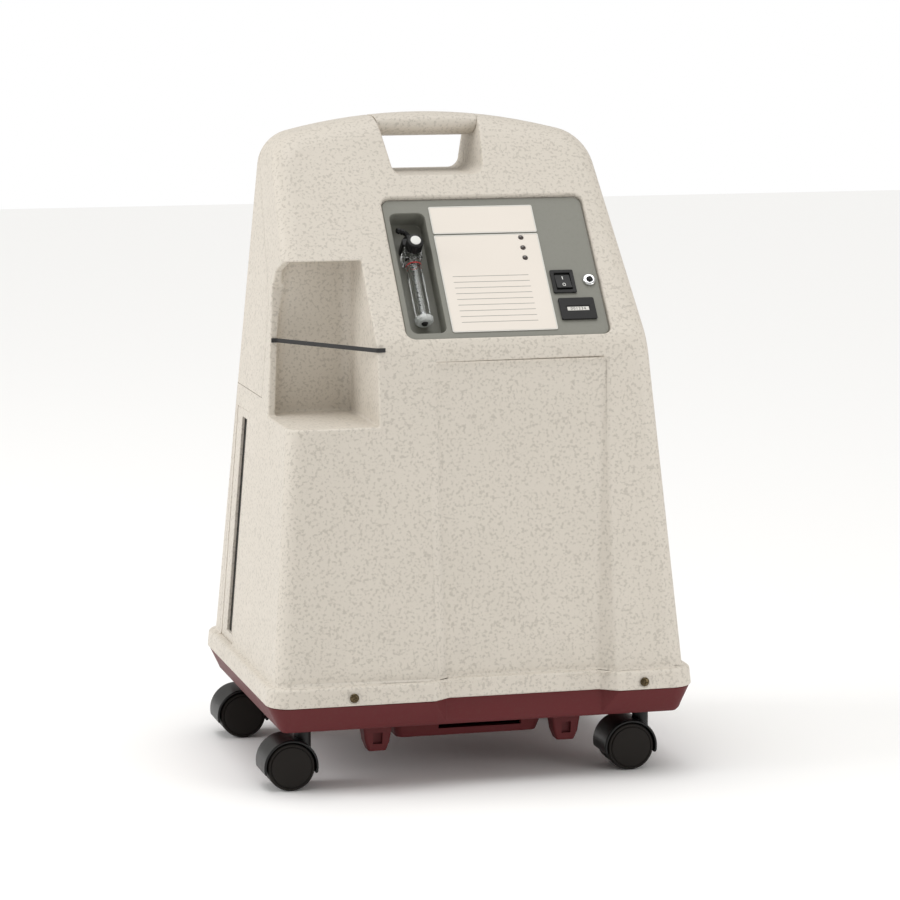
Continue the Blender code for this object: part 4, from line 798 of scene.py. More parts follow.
def front_y(z, inset=0.0):
    """Front surface of the cabinet at a height."""
    lower_angle = math.atan(FRONT_DRAFT)
    lower = -BASE_DEPTH / 2 + LIP + FRONT_DRAFT * (z - LIP_BOTTOM) + inset / math.cos(lower_angle)
    bend_y = -BASE_DEPTH / 2 + LIP + FRONT_DRAFT * (BEND_HEIGHT - LIP_BOTTOM)
    upper = bend_y + (z - BEND_HEIGHT) * math.tan(UPPER_RAKE) + inset / math.cos(UPPER_RAKE)
    tangent = BEND_RADIUS * math.tan((UPPER_RAKE - lower_angle) / 2)
    start_z = BEND_HEIGHT - tangent * math.cos(lower_angle)
    start_y = bend_y - tangent * math.sin(lower_angle)
    centre_y = start_y + BEND_RADIUS * math.cos(lower_angle)
    centre_z = start_z - BEND_RADIUS * math.sin(lower_angle)
    radius = BEND_RADIUS - inset
    if z < centre_z + radius * math.sin(lower_angle):
        return lower
    if z > centre_z + radius * math.sin(UPPER_RAKE):
        return upper
    return centre_y - math.sqrt(radius ** 2 - (z - centre_z) ** 2)


def rear_y(z, inset=0.0):
    lean = math.cos(math.atan(REAR_DRAFT))
    return BASE_DEPTH / 2 - LIP - REAR_DRAFT * (z - LIP_BOTTOM) - inset / lean


def outline_rows(inset):
    """Rows of the front outline: x, z, inward normal, and how far the row stands out."""
    lean = math.atan(SIDE_DRAFT)
    side = (-math.cos(lean), -math.sin(lean))
    crown_centre = OVERALL_HEIGHT - CROWN_RADIUS
    foot = Vector((half_width(0), 0)) + SHOULDER_RADIUS * Vector(side)
    along = Vector((-math.sin(lean), math.cos(lean)))
    reach = foot - Vector((0, crown_centre))
    half = reach.dot(along)
    span = CROWN_RADIUS - SHOULDER_RADIUS
    centre = foot + (-half + math.sqrt(half ** 2 - reach.length_squared + span ** 2)) * along
    first_angle = math.atan2(-side[1], -side[0])
    last_angle = math.atan2(centre.y - crown_centre, centre.x)
    shoulder_z = centre.y - SHOULDER_RADIUS * side[1]
    lip_round = 0.0035
    rows = [(LIP_BOTTOM - (0.002 if inset else 0.0), LIP)]
    if not inset:
        for step in range(5):
            angle = math.pi / 2 * step / 4
            rows.append((LIP_TOP - lip_round * (1 - math.sin(angle)),
                         LIP - lip_round * (1 - math.cos(angle))))
        rows += [(LIP_TOP + 0.0003, 0.0012), (LIP_TOP + 0.0015, 0.0)]
    else:
        rows += [(LIP_TOP - 0.0025 - inset, LIP), (LIP_TOP - inset, 0.0)]
    rows += [(LIP_TOP + (BEND_HEIGHT - LIP_TOP) * step / 8, 0.0) for step in range(1, 8)]
    rows += [(BEND_HEIGHT + step, 0.0) for step in (-0.024, -0.019, -0.0105, -0.005, 0.0, 0.005, 0.010,
                                                    0.016)]
    rows += [(BEND_HEIGHT + (shoulder_z - BEND_HEIGHT) * share, 0.0) for share in (0.3, 0.5, 0.7, 0.85, 1.0)]
    rows.sort(key=lambda row: row[0])
    result = [(half_width(z), z, -1, 0, grow) for z, grow in rows]
    steps = form().fineness
    for centre_x, centre_z, radius, first, last in (
            (centre.x, centre.y, SHOULDER_RADIUS, first_angle, last_angle),
            (0, crown_centre, CROWN_RADIUS, last_angle, math.pi / 2)):
        for step in range(1, steps + 1):
            angle = first + (last - first) * step / steps
            across, up = math.cos(angle), math.sin(angle)
            result.append((centre_x + radius * across, centre_z + radius * up, -across, -up, 0.0))
    return result


def cabinet_ring(x, z, normal_x, normal_z, grow):
    """One ring round the cabinet through an outline point."""
    radius = EDGE_RADIUS + grow
    front, rear = [], []
    segments = form().fineness
    for step in range(segments + 1):
        angle = math.pi / 2 * step / segments
        inward = radius * (1 - math.sin(angle)) - grow
        depth = radius * (1 - math.cos(angle))
        spot_x, spot_z = x + normal_x * inward, z + normal_z * inward
        front.append((spot_x, front_y(spot_z, -grow) + depth, spot_z))
        rear.append((spot_x, rear_y(spot_z, -grow) - depth, spot_z))
    right = front + rear[::-1]
    return right + [(-a, b, c) for a, b, c in reversed(right)]


def cabinet_form(name, inset=0.0):
    return loft(name,
                [cabinet_ring(x, z, nx, nz, grow - inset) for x, z, nx, nz, grow in outline_rows(inset)])


def centre_recess(name, grow=0.0):
    """Shallow centre of the lower front, deeper towards the lip."""
    top = BEND_HEIGHT - 0.015
    rings = []
    for z, proud, shape_z in ((PAN_BOTTOM - 0.02, LIP, LIP_BOTTOM), (LIP_TOP, LIP, LIP_TOP),
                              (LIP_TOP + 0.0004, 0.0, LIP_TOP), (top + grow, 0.0, top)):
        share = (shape_z - LIP_BOTTOM) / (top - LIP_BOTTOM)
        left = -0.036 - 0.004 * share - grow
        right = 0.1235 + 0.0151 * share + grow
        slope = 0.018 - 0.013 * share
        depth = 0.013 - 0.0115 * share
        surface = front_y(z) - proud
        spread = slope * (depth + 0.004) / depth
        floor_y = surface + depth + grow
        rings.append([(left - spread, surface - 0.004, z), (right + spread, surface - 0.004, z),
                      (right, floor_y, z), (left, floor_y, z)])
    return loft(name, rings)


def recess_back():
    return front_y(SHELF) + RECESS_DEPTH


def notch_back(z):
    return recess_back() - NOTCH_BACK_LOW + (z - SHELF) * (NOTCH_BACK_LOW - NOTCH_BACK_HIGH) / NOTCH_RISE


def bottle_recess(name, grow=0.0):
    """The bottle recess: its pocket, and the notch that opens it to the side."""
    ceiling = SHELF + RECESS_HEIGHT
    rings = []
    for z in (SHELF - grow, ceiling + grow):
        left = -(half_width(z) - RECESS_SIDE_WALL) - grow
        rings.append([(a, b, z) for a, b in rounded(left, RECESS_RIGHT + grow, -FAR, recess_back() + grow,
                                                    RECESS_CORNER)])
    knee = SHELF + NOTCH_RISE
    low_y, knee_y = notch_back(SHELF) + grow, notch_back(knee) + grow
    outline = [(-FAR, SHELF - grow), (low_y, SHELF - grow), (knee_y, knee),
               (knee_y - 0.012, knee + 0.019 + grow), (knee_y - 0.043, ceiling + grow),
               (-FAR, ceiling + grow)]
    return [loft(name + "_pocket", rings), prism(name + "_notch", outline, "X", -FAR, NOTCH_RIGHT)]


def carry_cutout(name, grow=0.0):
    bottom, top = OVERALL_HEIGHT - 0.062 - grow, OVERALL_HEIGHT + 0.02
    half = 0.050 + grow
    outline = [(x, z) for x, z in rounded(-half, half, bottom, top, 0.012 + grow) if z < (bottom + top) / 2]
    half_top = half + 0.007 / 0.062 * (top - bottom)
    return prism(name, outline + [(half_top, top), (-half_top, top)], "Y", -FAR, FAR)


def panel_block(name, margin, low, high):
    outline = rounded(PANEL_LEFT + margin, PANEL_RIGHT - margin, PANEL_LOW + margin, PANEL_HIGH - margin,
                      PANEL_CORNER - margin)
    return prism(name, outline, "Z", low, high, PANEL_AT)


def seam_line(shift=0.0):
    low_y = BASE_DEPTH / 2 - SEAM_LOW_BACK + shift
    step_z = BEND_HEIGHT - SEAM_STEP_BELOW_BEND + shift
    front = recess_back() + WALL + SEAM_BEHIND_RECESS + shift
    rake_z, top_z = BEND_HEIGHT + SEAM_RAKE_START, OVERALL_HEIGHT + 0.05
    return [(low_y, 0), (low_y, step_z), (front, step_z), (front, rake_z),
            (front + (top_z - rake_z) * SEAM_RAKE, top_z)]


def filter_block(name, side, margin, outer, inner, ends=0.0, front_border=0.0, back_border=0.0):
    """A slab that follows a side wall, between two depths from its surface."""
    front = BASE_DEPTH / 2 - FILTER_FRONT + margin + front_border
    back = BASE_DEPTH / 2 - FILTER_BACK - margin - back_border
    rings = []
    for z in (LIP_BOTTOM + FILTER_LOW + margin + ends,
              LIP_BOTTOM + FILTER_LOW + FILTER_LENGTH - margin - ends):
        out_x, in_x = side * (half_width(z) - outer), side * (half_width(z) - inner)
        rings.append([(out_x, front, z), (out_x, back, z), (in_x, back, z), (in_x, front, z)])
    return loft(name, rings)


# ---------------------------------------------------------------- pieces

def build_housings():
    """Front and rear housings, with the edges of the recesses, carry cut-out, panel pocket and lip rounded;
    vents, holes and filter openings stay sharp.
    """
    over = 0.03
    outer = cabinet_form("cabinet_outer")
    carve(outer, [centre_recess("front_centre"), *bottle_recess("bottle"), carry_cutout("carry"),
                  panel_block("panel_pocket", 0, -PANEL_RECESS, over)])
    rims = sharp_edges(outer)
    inner = cabinet_form("cabinet_inner", WALL)
    carve(inner, [centre_recess("front_centre_inner", WALL), *bottle_recess("bottle_inner", WALL),
                  carry_cutout("carry_inner", WALL),
                  panel_block("panel_pocket_inner", -WALL, -PANEL_RECESS - WALL, over)])
    cutters = [inner, panel_block("panel_window", PANEL_LEDGE, -0.05, 0.01)]
    for side_name, side in SIDES:
        cutters.append(filter_block("filter_opening_" + side_name, side, 0, -0.01, 0.008))
    inlet_x, inlet_z = 0.090, 0.190
    y = rear_y(inlet_z)
    cutters.append(block("inlet_hole", (inlet_x - 0.0143, y - 0.02, inlet_z - 0.0103),
                         (inlet_x + 0.0143, y + 0.02, inlet_z + 0.0103)))
    for row in range(6):
        z = LIP_BOTTOM + 0.055 + 0.016 * row
        slot = [(x, v) for x, v in rounded(-0.150, -0.030, z, z + 0.006, 0.0029, 4)]
        cutters.append(prism(f"vent_{row}", slot, "Y", rear_y(z) - 0.03, FAR))
    for x, face in SCREWS.values():
        edge = face * BASE_DEPTH / 2
        z = LIP_BOTTOM + SCREW_HEIGHT
        cutters.append(rod(f"screw_seat_{x}", 0.0062, (x, edge + face * 0.01, z),
                           (x, edge - face * 0.0009, z)))
        cutters.append(rod(f"screw_hole_{x}", 0.0023, (x, edge + face * 0.01, z),
                           (x, edge - face * 0.012, z)))
    carve(outer, cutters)
    above = OVERALL_HEIGHT + 0.05
    regions = (("front_housing", [(-FAR, 0)] + seam_line(-0.0002) + [(-FAR, above)]),
               ("rear_housing", [(FAR, 0), (FAR, above)] + seam_line(CLEAR + 0.0002)[::-1]))
    for node, outline in regions:
        shell = solid(node + "_shell", outer.data.copy())
        carve(shell, [prism(node + "_region", outline, "X", -FAR, FAR)], "INTERSECT")
        round_rims(shell, rims, form().edge)
        finish_piece(shell, housing_beige(), "cabinet", [node], smooth=30)
    bpy.data.objects.remove(outer, do_unlink=True)


def build_carry_bar():
    """Carry bar, oval in section, with its top trimmed to the crown."""
    bar = carry_cutout("carry_bar", -CLEAR)
    centre_y = rear_y(OVERALL_HEIGHT) - 0.028
    centre_z = OVERALL_HEIGHT - 0.014 + 0.003
    oval = [(centre_y + 0.028 * math.cos(math.tau * i / 48), centre_z + 0.014 * math.sin(math.tau * i / 48))
            for i in range(48)]
    carve(bar, [prism("bar_oval", oval, "X", -FAR, FAR), cabinet_form("bar_crown")], "INTERSECT")
    tidy_mesh(bar, 0.0002)
    soften(bar, 0.0012, 3, 30)
    finish_piece(bar, housing_beige(), "cabinet", ["carry_handle"], smooth=35)


def build_base_pan():
    """Base pan with its outlet tray, lugs and caster sockets."""
    def ring(z, grow):
        return cabinet_ring(half_width(z), z, -1, 0, grow)

    gap = CLEAR + 0.0001
    rim, seat, rim_top = LIP - WALL - gap, LIP_BOTTOM - CLEAR, LIP_BOTTOM + PAN_RIM
    pan = loft("pan",
               [ring(PAN_BOTTOM, -0.0125), ring(PAN_BOTTOM + 0.0012, -0.0108),
                ring(PAN_BOTTOM + 0.004, -0.0078),
                       ring(PAN_BOTTOM + 0.009, -0.0052), ring(seat, LIP - 0.002), ring(seat, rim),
                       ring(rim_top, rim)])
    tray = []
    for z, taper in ((TRAY_BOTTOM, TRAY_TAPER), (PAN_BOTTOM + 0.002, 0.0)):
        x, y = TRAY_HALF_WIDTH - taper, TRAY_HALF_DEPTH - taper
        tray.append([(a, b, z) for a, b in rounded(-x, x, -y, y, 0.008)])
    extras = [loft("tray", tray)]
    for side_name, side in SIDES:
        rings = []
        for z, half_x, half_y in ((LUG_BOTTOM, LUG_WIDTH / 3.6, 0.009),
                                  (LUG_BOTTOM + 0.010, LUG_WIDTH / 2.6, 0.011),
                                  (PAN_BOTTOM + 0.002, LUG_WIDTH / 2, 0.013)):
            rings.append([(side * LUG_X + a, LUG_Y + b, z) for a,
                          b in rounded(-half_x, half_x, -half_y, half_y,
                                                                             0.003, 5)])
        extras.append(loft("lug_" + side_name, rings))
    carve(pan, extras, "UNION")
    carve(pan, [centre_recess("pan_recess", WALL + gap)])
    tidy_mesh(pan, 0.0005)
    soften(pan, 0.0012, 3, 30, False)
    hollow = loft("pan_hollow", [ring(FLOOR, -0.0135), ring(seat - 0.002, LIP - 0.002 - WALL),
                                 ring(rim_top + 0.01, rim - 0.002)])
    posts = []
    for name, (side, end) in CASTERS.items():
        x, y = side * (BASE_WIDTH / 2 - 0.0455), end * (BASE_DEPTH / 2 - 0.054)
        posts.append((name, x, y))
    carve(hollow, [centre_recess("hollow_recess", 2 * WALL + gap)]
          + [rod("post_" + n, STEM_RADIUS + 0.005, (x, y, PAN_BOTTOM + 0.001),
                 (x, y, PAN_BOTTOM + STEM_LENGTH + 0.004))
             for n, x, y in posts])
    x, y = TRAY_HALF_WIDTH - 0.014, TRAY_HALF_DEPTH - 0.014
    cutters = [hollow, block("tray_hollow", (-x, -y, TRAY_BOTTOM + WALL), (x, y, PAN_BOTTOM)),
               block("tray_vent", (-0.030, 0.020, PAN_BOTTOM - 0.004), (0.030, 0.070, FLOOR + 0.01)),
               block("tray_slot", (-0.032, -TRAY_HALF_DEPTH - 0.01, TRAY_BOTTOM + 0.008),
                     (0.058, -TRAY_HALF_DEPTH + 0.02, TRAY_BOTTOM + 0.016))]
    cutters += [rod("bore_" + n, STEM_RADIUS + CLEAR, (x, y, PAN_BOTTOM - 0.01),
                    (x, y, PAN_BOTTOM + STEM_LENGTH + CLEAR)) for n, x, y in posts]
    for side_name, side in SIDES:
        cutters.append(block("lug_hollow_" + side_name,
                             (side * LUG_X - 0.005, LUG_Y - 0.03, LUG_BOTTOM + 0.008),
                             (side * LUG_X + 0.005, LUG_Y - 0.006, LUG_BOTTOM + 0.020)))
    for spot, face in SCREWS.values():
        edge = face * BASE_DEPTH / 2
        z = LIP_BOTTOM + SCREW_HEIGHT
        cutters.append(rod(f"pan_screw_{spot}", 0.0023, (spot, edge + face * 0.01, z),
                           (spot, edge - face * 0.015, z)))
    carve(pan, cutters)
    finish_piece(pan, pan_burgundy(), "cabinet", ["base_pan"], smooth=32)


def build_screws():
    """Housing screws with crossed slots, set round the lip."""
    head = 0.0048
    profile = [(0, 0.0022), (head * 0.45, 0.0021), (head * 0.72, 0.00185), (head * 0.92, 0.0012),
               (head, 0.0005),
               (head, 0), (0.002, 0), (0.002, -0.012), (0, -0.012)]
    screw = turned("screw_pattern", profile, None, 32)
    carve(screw, [block(f"slot_{n}", low, high) for n, (low, high) in enumerate(
        (((-0.0026, -0.0005, 0.001), (0.0026, 0.0005, 0.004)),
         ((-0.0005, -0.0026, 0.001), (0.0005, 0.0026, 0.004))))])
    spots, turns = [], []
    for number, (x, face) in enumerate(SCREWS.values()):
        spots.append((x, face * (BASE_DEPTH / 2 + CLEAR - 0.0001), LIP_BOTTOM + SCREW_HEIGHT))
        turn = Matrix.Rotation(math.radians(-90 * face), 3, "X") @ Matrix.Rotation(0.5 + 0.9 * number, 3, "Z")
        turns += list(turn.to_euler())
    points = bpy.data.meshes.new("housing_screws")
    points.from_pydata(spots, [], [])
    points.attributes.new("turn", "FLOAT_VECTOR", "POINT").data.foreach_set("vector", turns)
    tree = repeat_tree("placed_screws", PLACED_SIZES, placed_copies)
    # The screws' dark finish is partly painted shade.
    screws = repeated("housing_screws", tree, {"Pattern": screw, "Size": 1.0}, screw_brass(), mesh=points)
    bpy.data.objects.remove(screw, do_unlink=True)
    finish_piece(screws, screw_brass(), "cabinet", ["screw_" + spot for spot in SCREWS])


def build_filters():
    """Side filters: frame, rib and foam."""
    for side_name, side in SIDES:
        body = "filter_" + side_name
        surround = filter_block("filter_surround_" + side_name, side, CLEAR, 0.0004, 0.004)
        carve(surround,
              [filter_block("filter_gap_" + side_name, side, CLEAR, -0.01, 0.01, 0.009, 0.009, 0.024)])
        soften(surround, 0.0007, 3, 30)
        finish_piece(surround, housing_beige(), body, ["filter_frame_" + side_name])
        rib = filter_block("filter_rib_" + side_name, side, CLEAR, 0.0016, 0.0034, 0.0088, 0.0150, 0.0440)
        soften(rib, 0.0004, 2, 30)
        finish_piece(rib, housing_beige(), body)
        foam = filter_block("filter_pad_" + side_name, side, CLEAR, 0.0043, 0.0133)
        soften(foam, 0.0006, 2, 30)
        finish_piece(foam, filter_foam(), body, ["filter_foam_" + side_name])


def build_panel():
    """Control panel plate, its flowmeter pocket and its holes."""
    plate = panel_block("panel_plate", 0.0011, -PANEL_RECESS + CLEAR, FACE)
    floor = FACE - POCKET_DEPTH
    shell = rounded(POCKET_LEFT - POCKET_WALL, POCKET_RIGHT + POCKET_WALL, POCKET_LOW - POCKET_WALL,
                    POCKET_HIGH + POCKET_WALL, 0.009)
    carve(plate, [prism("pocket_shell", shell, "Z", floor - POCKET_WALL, FACE - 0.001, PANEL_AT)], "UNION")
    hollow = rounded(POCKET_LEFT, POCKET_RIGHT, POCKET_LOW, POCKET_HIGH, 0.0075)
    carve(plate, [prism("pocket_hollow", hollow, "Z", floor, FACE + 0.01, PANEL_AT)])
    tidy_mesh(plate)
    soften(plate, 0.0009, 3, 40)
    cutters = []
    for name, x, v, half_x, half_v in (
            ("switch_hole", SWITCH_X, SWITCH_V, SWITCH_WIDTH / 2 - 0.002, SWITCH_HEIGHT / 2 - 0.002),
            ("meter_hole", METER_X, METER_V, METER_WIDTH / 2 - 0.003, METER_HEIGHT / 2 - 0.003)):
        cutters.append(block(name, (x - half_x, v - half_v, -0.02), (x + half_x, v + half_v, 0.01), PANEL_AT))
    cutters.append(rod("breaker_hole", BREAKER_RADIUS - 0.0018, (BREAKER_X, BREAKER_V, -0.02),
                       (BREAKER_X, BREAKER_V, 0.01), PANEL_AT))
    cutters += [rod(f"lamp_hole_{v}", LAMP_RADIUS + CLEAR, (LAMP_X, v, -0.02), (LAMP_X, v, 0.01), PANEL_AT)
                for v in LAMP_HEIGHTS]
    carve(plate, cutters)
    finish_piece(plate, panel_grey(), "cabinet", ["control_panel"], smooth=30)


def build_labels():
    """Two label plates with fine borders, plain rules on the lower one, and the three lamps."""
    top = FACE + CLEAR
    for node, low, high in (("label_lower", LABEL_LOW, LABEL_SPLIT - 0.001),
                            ("label_upper", LABEL_SPLIT + 0.001, LABEL_HIGH)):
        lamps = LAMP_HEIGHTS if node == "label_lower" else ()
        edge = prism(node + "_edge", rounded(LABEL_LEFT, LABEL_RIGHT, low, high, 0.002), "Z", top,
                     top + 0.0006,
                     PANEL_AT)
        inset = 0.0011
        inner = rounded(LABEL_LEFT + inset, LABEL_RIGHT - inset, low + inset, high - inset, 0.0012)
        carve(edge, [prism(node + "_cut", inner, "Z", top + 0.0003, top + 0.01, PANEL_AT)]
              + [rod(f"{node}_hole_{v}", LAMP_RADIUS + CLEAR, (LAMP_X, v, -0.02), (LAMP_X, v, 0.01), PANEL_AT)
                 for v in lamps])
        finish_piece(edge, label_border(), "cabinet", [node])
        gap = 0.0002
        film = prism(node + "_film",
                     rounded(LABEL_LEFT + inset + gap, LABEL_RIGHT - inset - gap, low + inset + gap,
                                             high - inset - gap, 0.0011), "Z", top + 0.00032, top + 0.00052,
                                             PANEL_AT)
        if lamps:
            carve(film,
                  [rod(f"{node}_film_hole_{v}", LAMP_RADIUS + 0.0005, (LAMP_X, v, -0.02), (LAMP_X, v, 0.01),
                             PANEL_AT) for v in lamps])
        finish_piece(film, label_film(), "cabinet")
    rules = detail().label_rules
    if rules:
        rows = repeated("label_rules", repeat_tree("bar_row", BAR_SIZES, bar_row), {
            "Count": rules,
            "Start": Vector(((LABEL_LEFT + LABEL_RIGHT) / 2 - 0.004, LABEL_LOW + 0.012, top + 0.00054)),
            "Pitch": Vector((0, 0.0072, 0)), "Bar Size": Vector((0.082, 0.0006, 0.00006))}, rule_grey(),
            PANEL_AT)
        finish_piece(rows, rule_grey(), "cabinet", weighted=False)
    for number, v in enumerate(LAMP_HEIGHTS, 1):
        place = PANEL_AT @ Matrix.Translation((LAMP_X, v, top))
        dome = [(LAMP_RADIUS * math.cos(math.radians(a)), 0.0004 + 0.0012 * math.sin(math.radians(a)))
                for a in (0, 20, 40, 60, 75)]
        profile = [(0, -0.006), (LAMP_RADIUS, -0.006)] + dome + [(0, 0.0016)]
        finish_piece(turned(f"lamp_{number}", profile, place, 24), lamp_lens(), "cabinet",
                     [f"indicator_lamp_{number}"])


def build_switch():
    """Rocker switch, with a bar and a ring for its two positions."""
    at = PANEL_AT @ Matrix.Translation((SWITCH_X, SWITCH_V, FACE))
    half_x, half_v = SWITCH_WIDTH / 2, SWITCH_HEIGHT / 2
    bezel = prism("rocker_bezel", rounded(-half_x, half_x, -half_v, half_v, 0.0014), "Z", CLEAR, 0.0022, at)
    body = block("rocker_case", (-half_x + 0.0025, -half_v + 0.0025, -0.020),
                 (half_x - 0.0025, half_v - 0.0025, 0.001),
                 at)
    carve(bezel, [body], "UNION")
    well_x, well_v = half_x - 0.004, half_v - 0.004
    carve(bezel, [block("rocker_well", (-well_x, -well_v, -0.012), (well_x, well_v, 0.01), at)])
    tidy_mesh(bezel)
    soften(bezel, 0.0005, 3, 40)
    finish_piece(bezel, black_plastic(), "cabinet", ["switch_bezel"])
    reach_x, reach_v = well_x - CLEAR, well_v - 0.0013
    curve = []
    for step in range(13):
        share = step / 12
        v = reach_v - 2 * reach_v * share
        flat = 0.0006 + 0.0030 * share
        curve.append((v, flat - 0.0004 * math.sin(math.pi * share)))
    outline = [(-reach_v, -0.004), (reach_v, -0.004)] + curve
    rocker = prism("rocker", outline, "X", -reach_x, reach_x, at)
    soften(rocker, 0.0004, 3, 40)
    finish_piece(rocker, black_plastic(), "power_rocker", ["switch_rocker"])
    marks = []
    for v, ring in ((reach_v * 0.52, False), (-reach_v * 0.52, True)):
        share = (reach_v - v) / (2 * reach_v)
        w = 0.0006 + 0.0030 * share - 0.0004 * math.sin(math.pi * share)
        tilt = at @ Matrix.Translation((0, v, w)) @ Matrix.Rotation(math.atan2(-0.0030, 2 * reach_v), 4, "X")
        if ring:
            oval = [(0.0017 * math.cos(math.tau * i / 32),
                     0.0023 * math.sin(math.tau * i / 32)) for i in range(32)]
            hole = [(x * 0.62, y * 0.72) for x, y in oval]
            mark = prism("mark_ring", oval, "Z", -0.0003, 0.00012, tilt)
            carve(mark, [prism("mark_hole", hole, "Z", -0.001, 0.001, tilt)])
        else:
            mark = prism("mark_bar", rounded(-0.00045, 0.00045, -0.0023, 0.0023, 0.0002, 3), "Z", -0.0003,
                         0.00012, tilt)
        marks.append(mark)
    for mark in marks:
        finish_piece(mark, mark_white(), "power_rocker")


def build_breaker():
    """Breaker: bright nut and body, and its button."""
    at = PANEL_AT @ Matrix.Translation((BREAKER_X, BREAKER_V, FACE))
    nut, inner, bore = BREAKER_RADIUS, BREAKER_RADIUS - 0.0021, 0.0034
    profile = [(bore, 0.0026), (bore + 0.0004, 0.0030), (nut * 0.84, 0.0030), (nut * 0.93, 0.0027),
               (nut, 0.0019),
               (nut, CLEAR), (inner, CLEAR), (inner, -0.016), (bore - 0.001, -0.016), (bore - 0.001, -0.009),
               (bore, -0.009)]
    finish_piece(turned("breaker_nut", profile, at, 48), chrome(), "cabinet", ["breaker_body"])
    radius = bore - CLEAR
    button = [(0, -0.0055), (radius, -0.0055), (radius, 0.0040), (radius * 0.93, 0.0047),
              (radius * 0.75, 0.0050),
              (radius * 0.35, 0.0048), (0, 0.0047)]
    finish_piece(turned("breaker_cap", button, at, 40), black_plastic(), "breaker_plunger",
                 ["breaker_button"])


def build_hour_meter():
    """Hour meter with a row of digits behind its window."""
    at = PANEL_AT @ Matrix.Translation((METER_X, METER_V, FACE))
    half_x, half_v = METER_WIDTH / 2, METER_HEIGHT / 2
    meter = prism("meter_case", rounded(-half_x, half_x, -half_v, half_v, 0.0018), "Z", CLEAR, 0.0026, at)
    carve(meter, [block("meter_body", (-half_x + 0.0035, -half_v + 0.0035, -0.018),
                        (half_x - 0.0035, half_v - 0.0035, 0.001), at)], "UNION")
    carve(meter, [block("meter_window", (-0.012, -0.003, 0.0016), (0.013, 0.003, 0.01), at)])
    tidy_mesh(meter)
    soften(meter, 0.0006, 3, 40)
    finish_piece(meter, black_plastic(), "cabinet", ["hour_meter"])
    strip = prism("meter_strip", rounded(-0.0112, 0.0122, -0.0023, 0.0023, 0.0004, 3), "Z", 0.00165, 0.00185,
                  at)
    finish_piece(strip, label_border(), "cabinet")
    text = bpy.data.curves.new("meter_digits", "FONT")
    text.body = "001234"
    text.size = 0.0046
    text.space_character = 1.25
    text.extrude = 0.00004
    text.align_x, text.align_y = "CENTER", "CENTER"
    label = bpy.data.objects.new("meter_digits_text", text)
    bpy.context.scene.collection.objects.link(label)
    graph = bpy.context.evaluated_depsgraph_get()
    mesh = bpy.data.meshes.new_from_object(label.evaluated_get(graph))
    bpy.data.objects.remove(label, do_unlink=True)
    mesh.transform(at @ Matrix.Translation((0.0005, 0, 0.00190)))
    finish_piece(solid("meter_digits", mesh), black_plastic(), "cabinet", weighted=False)


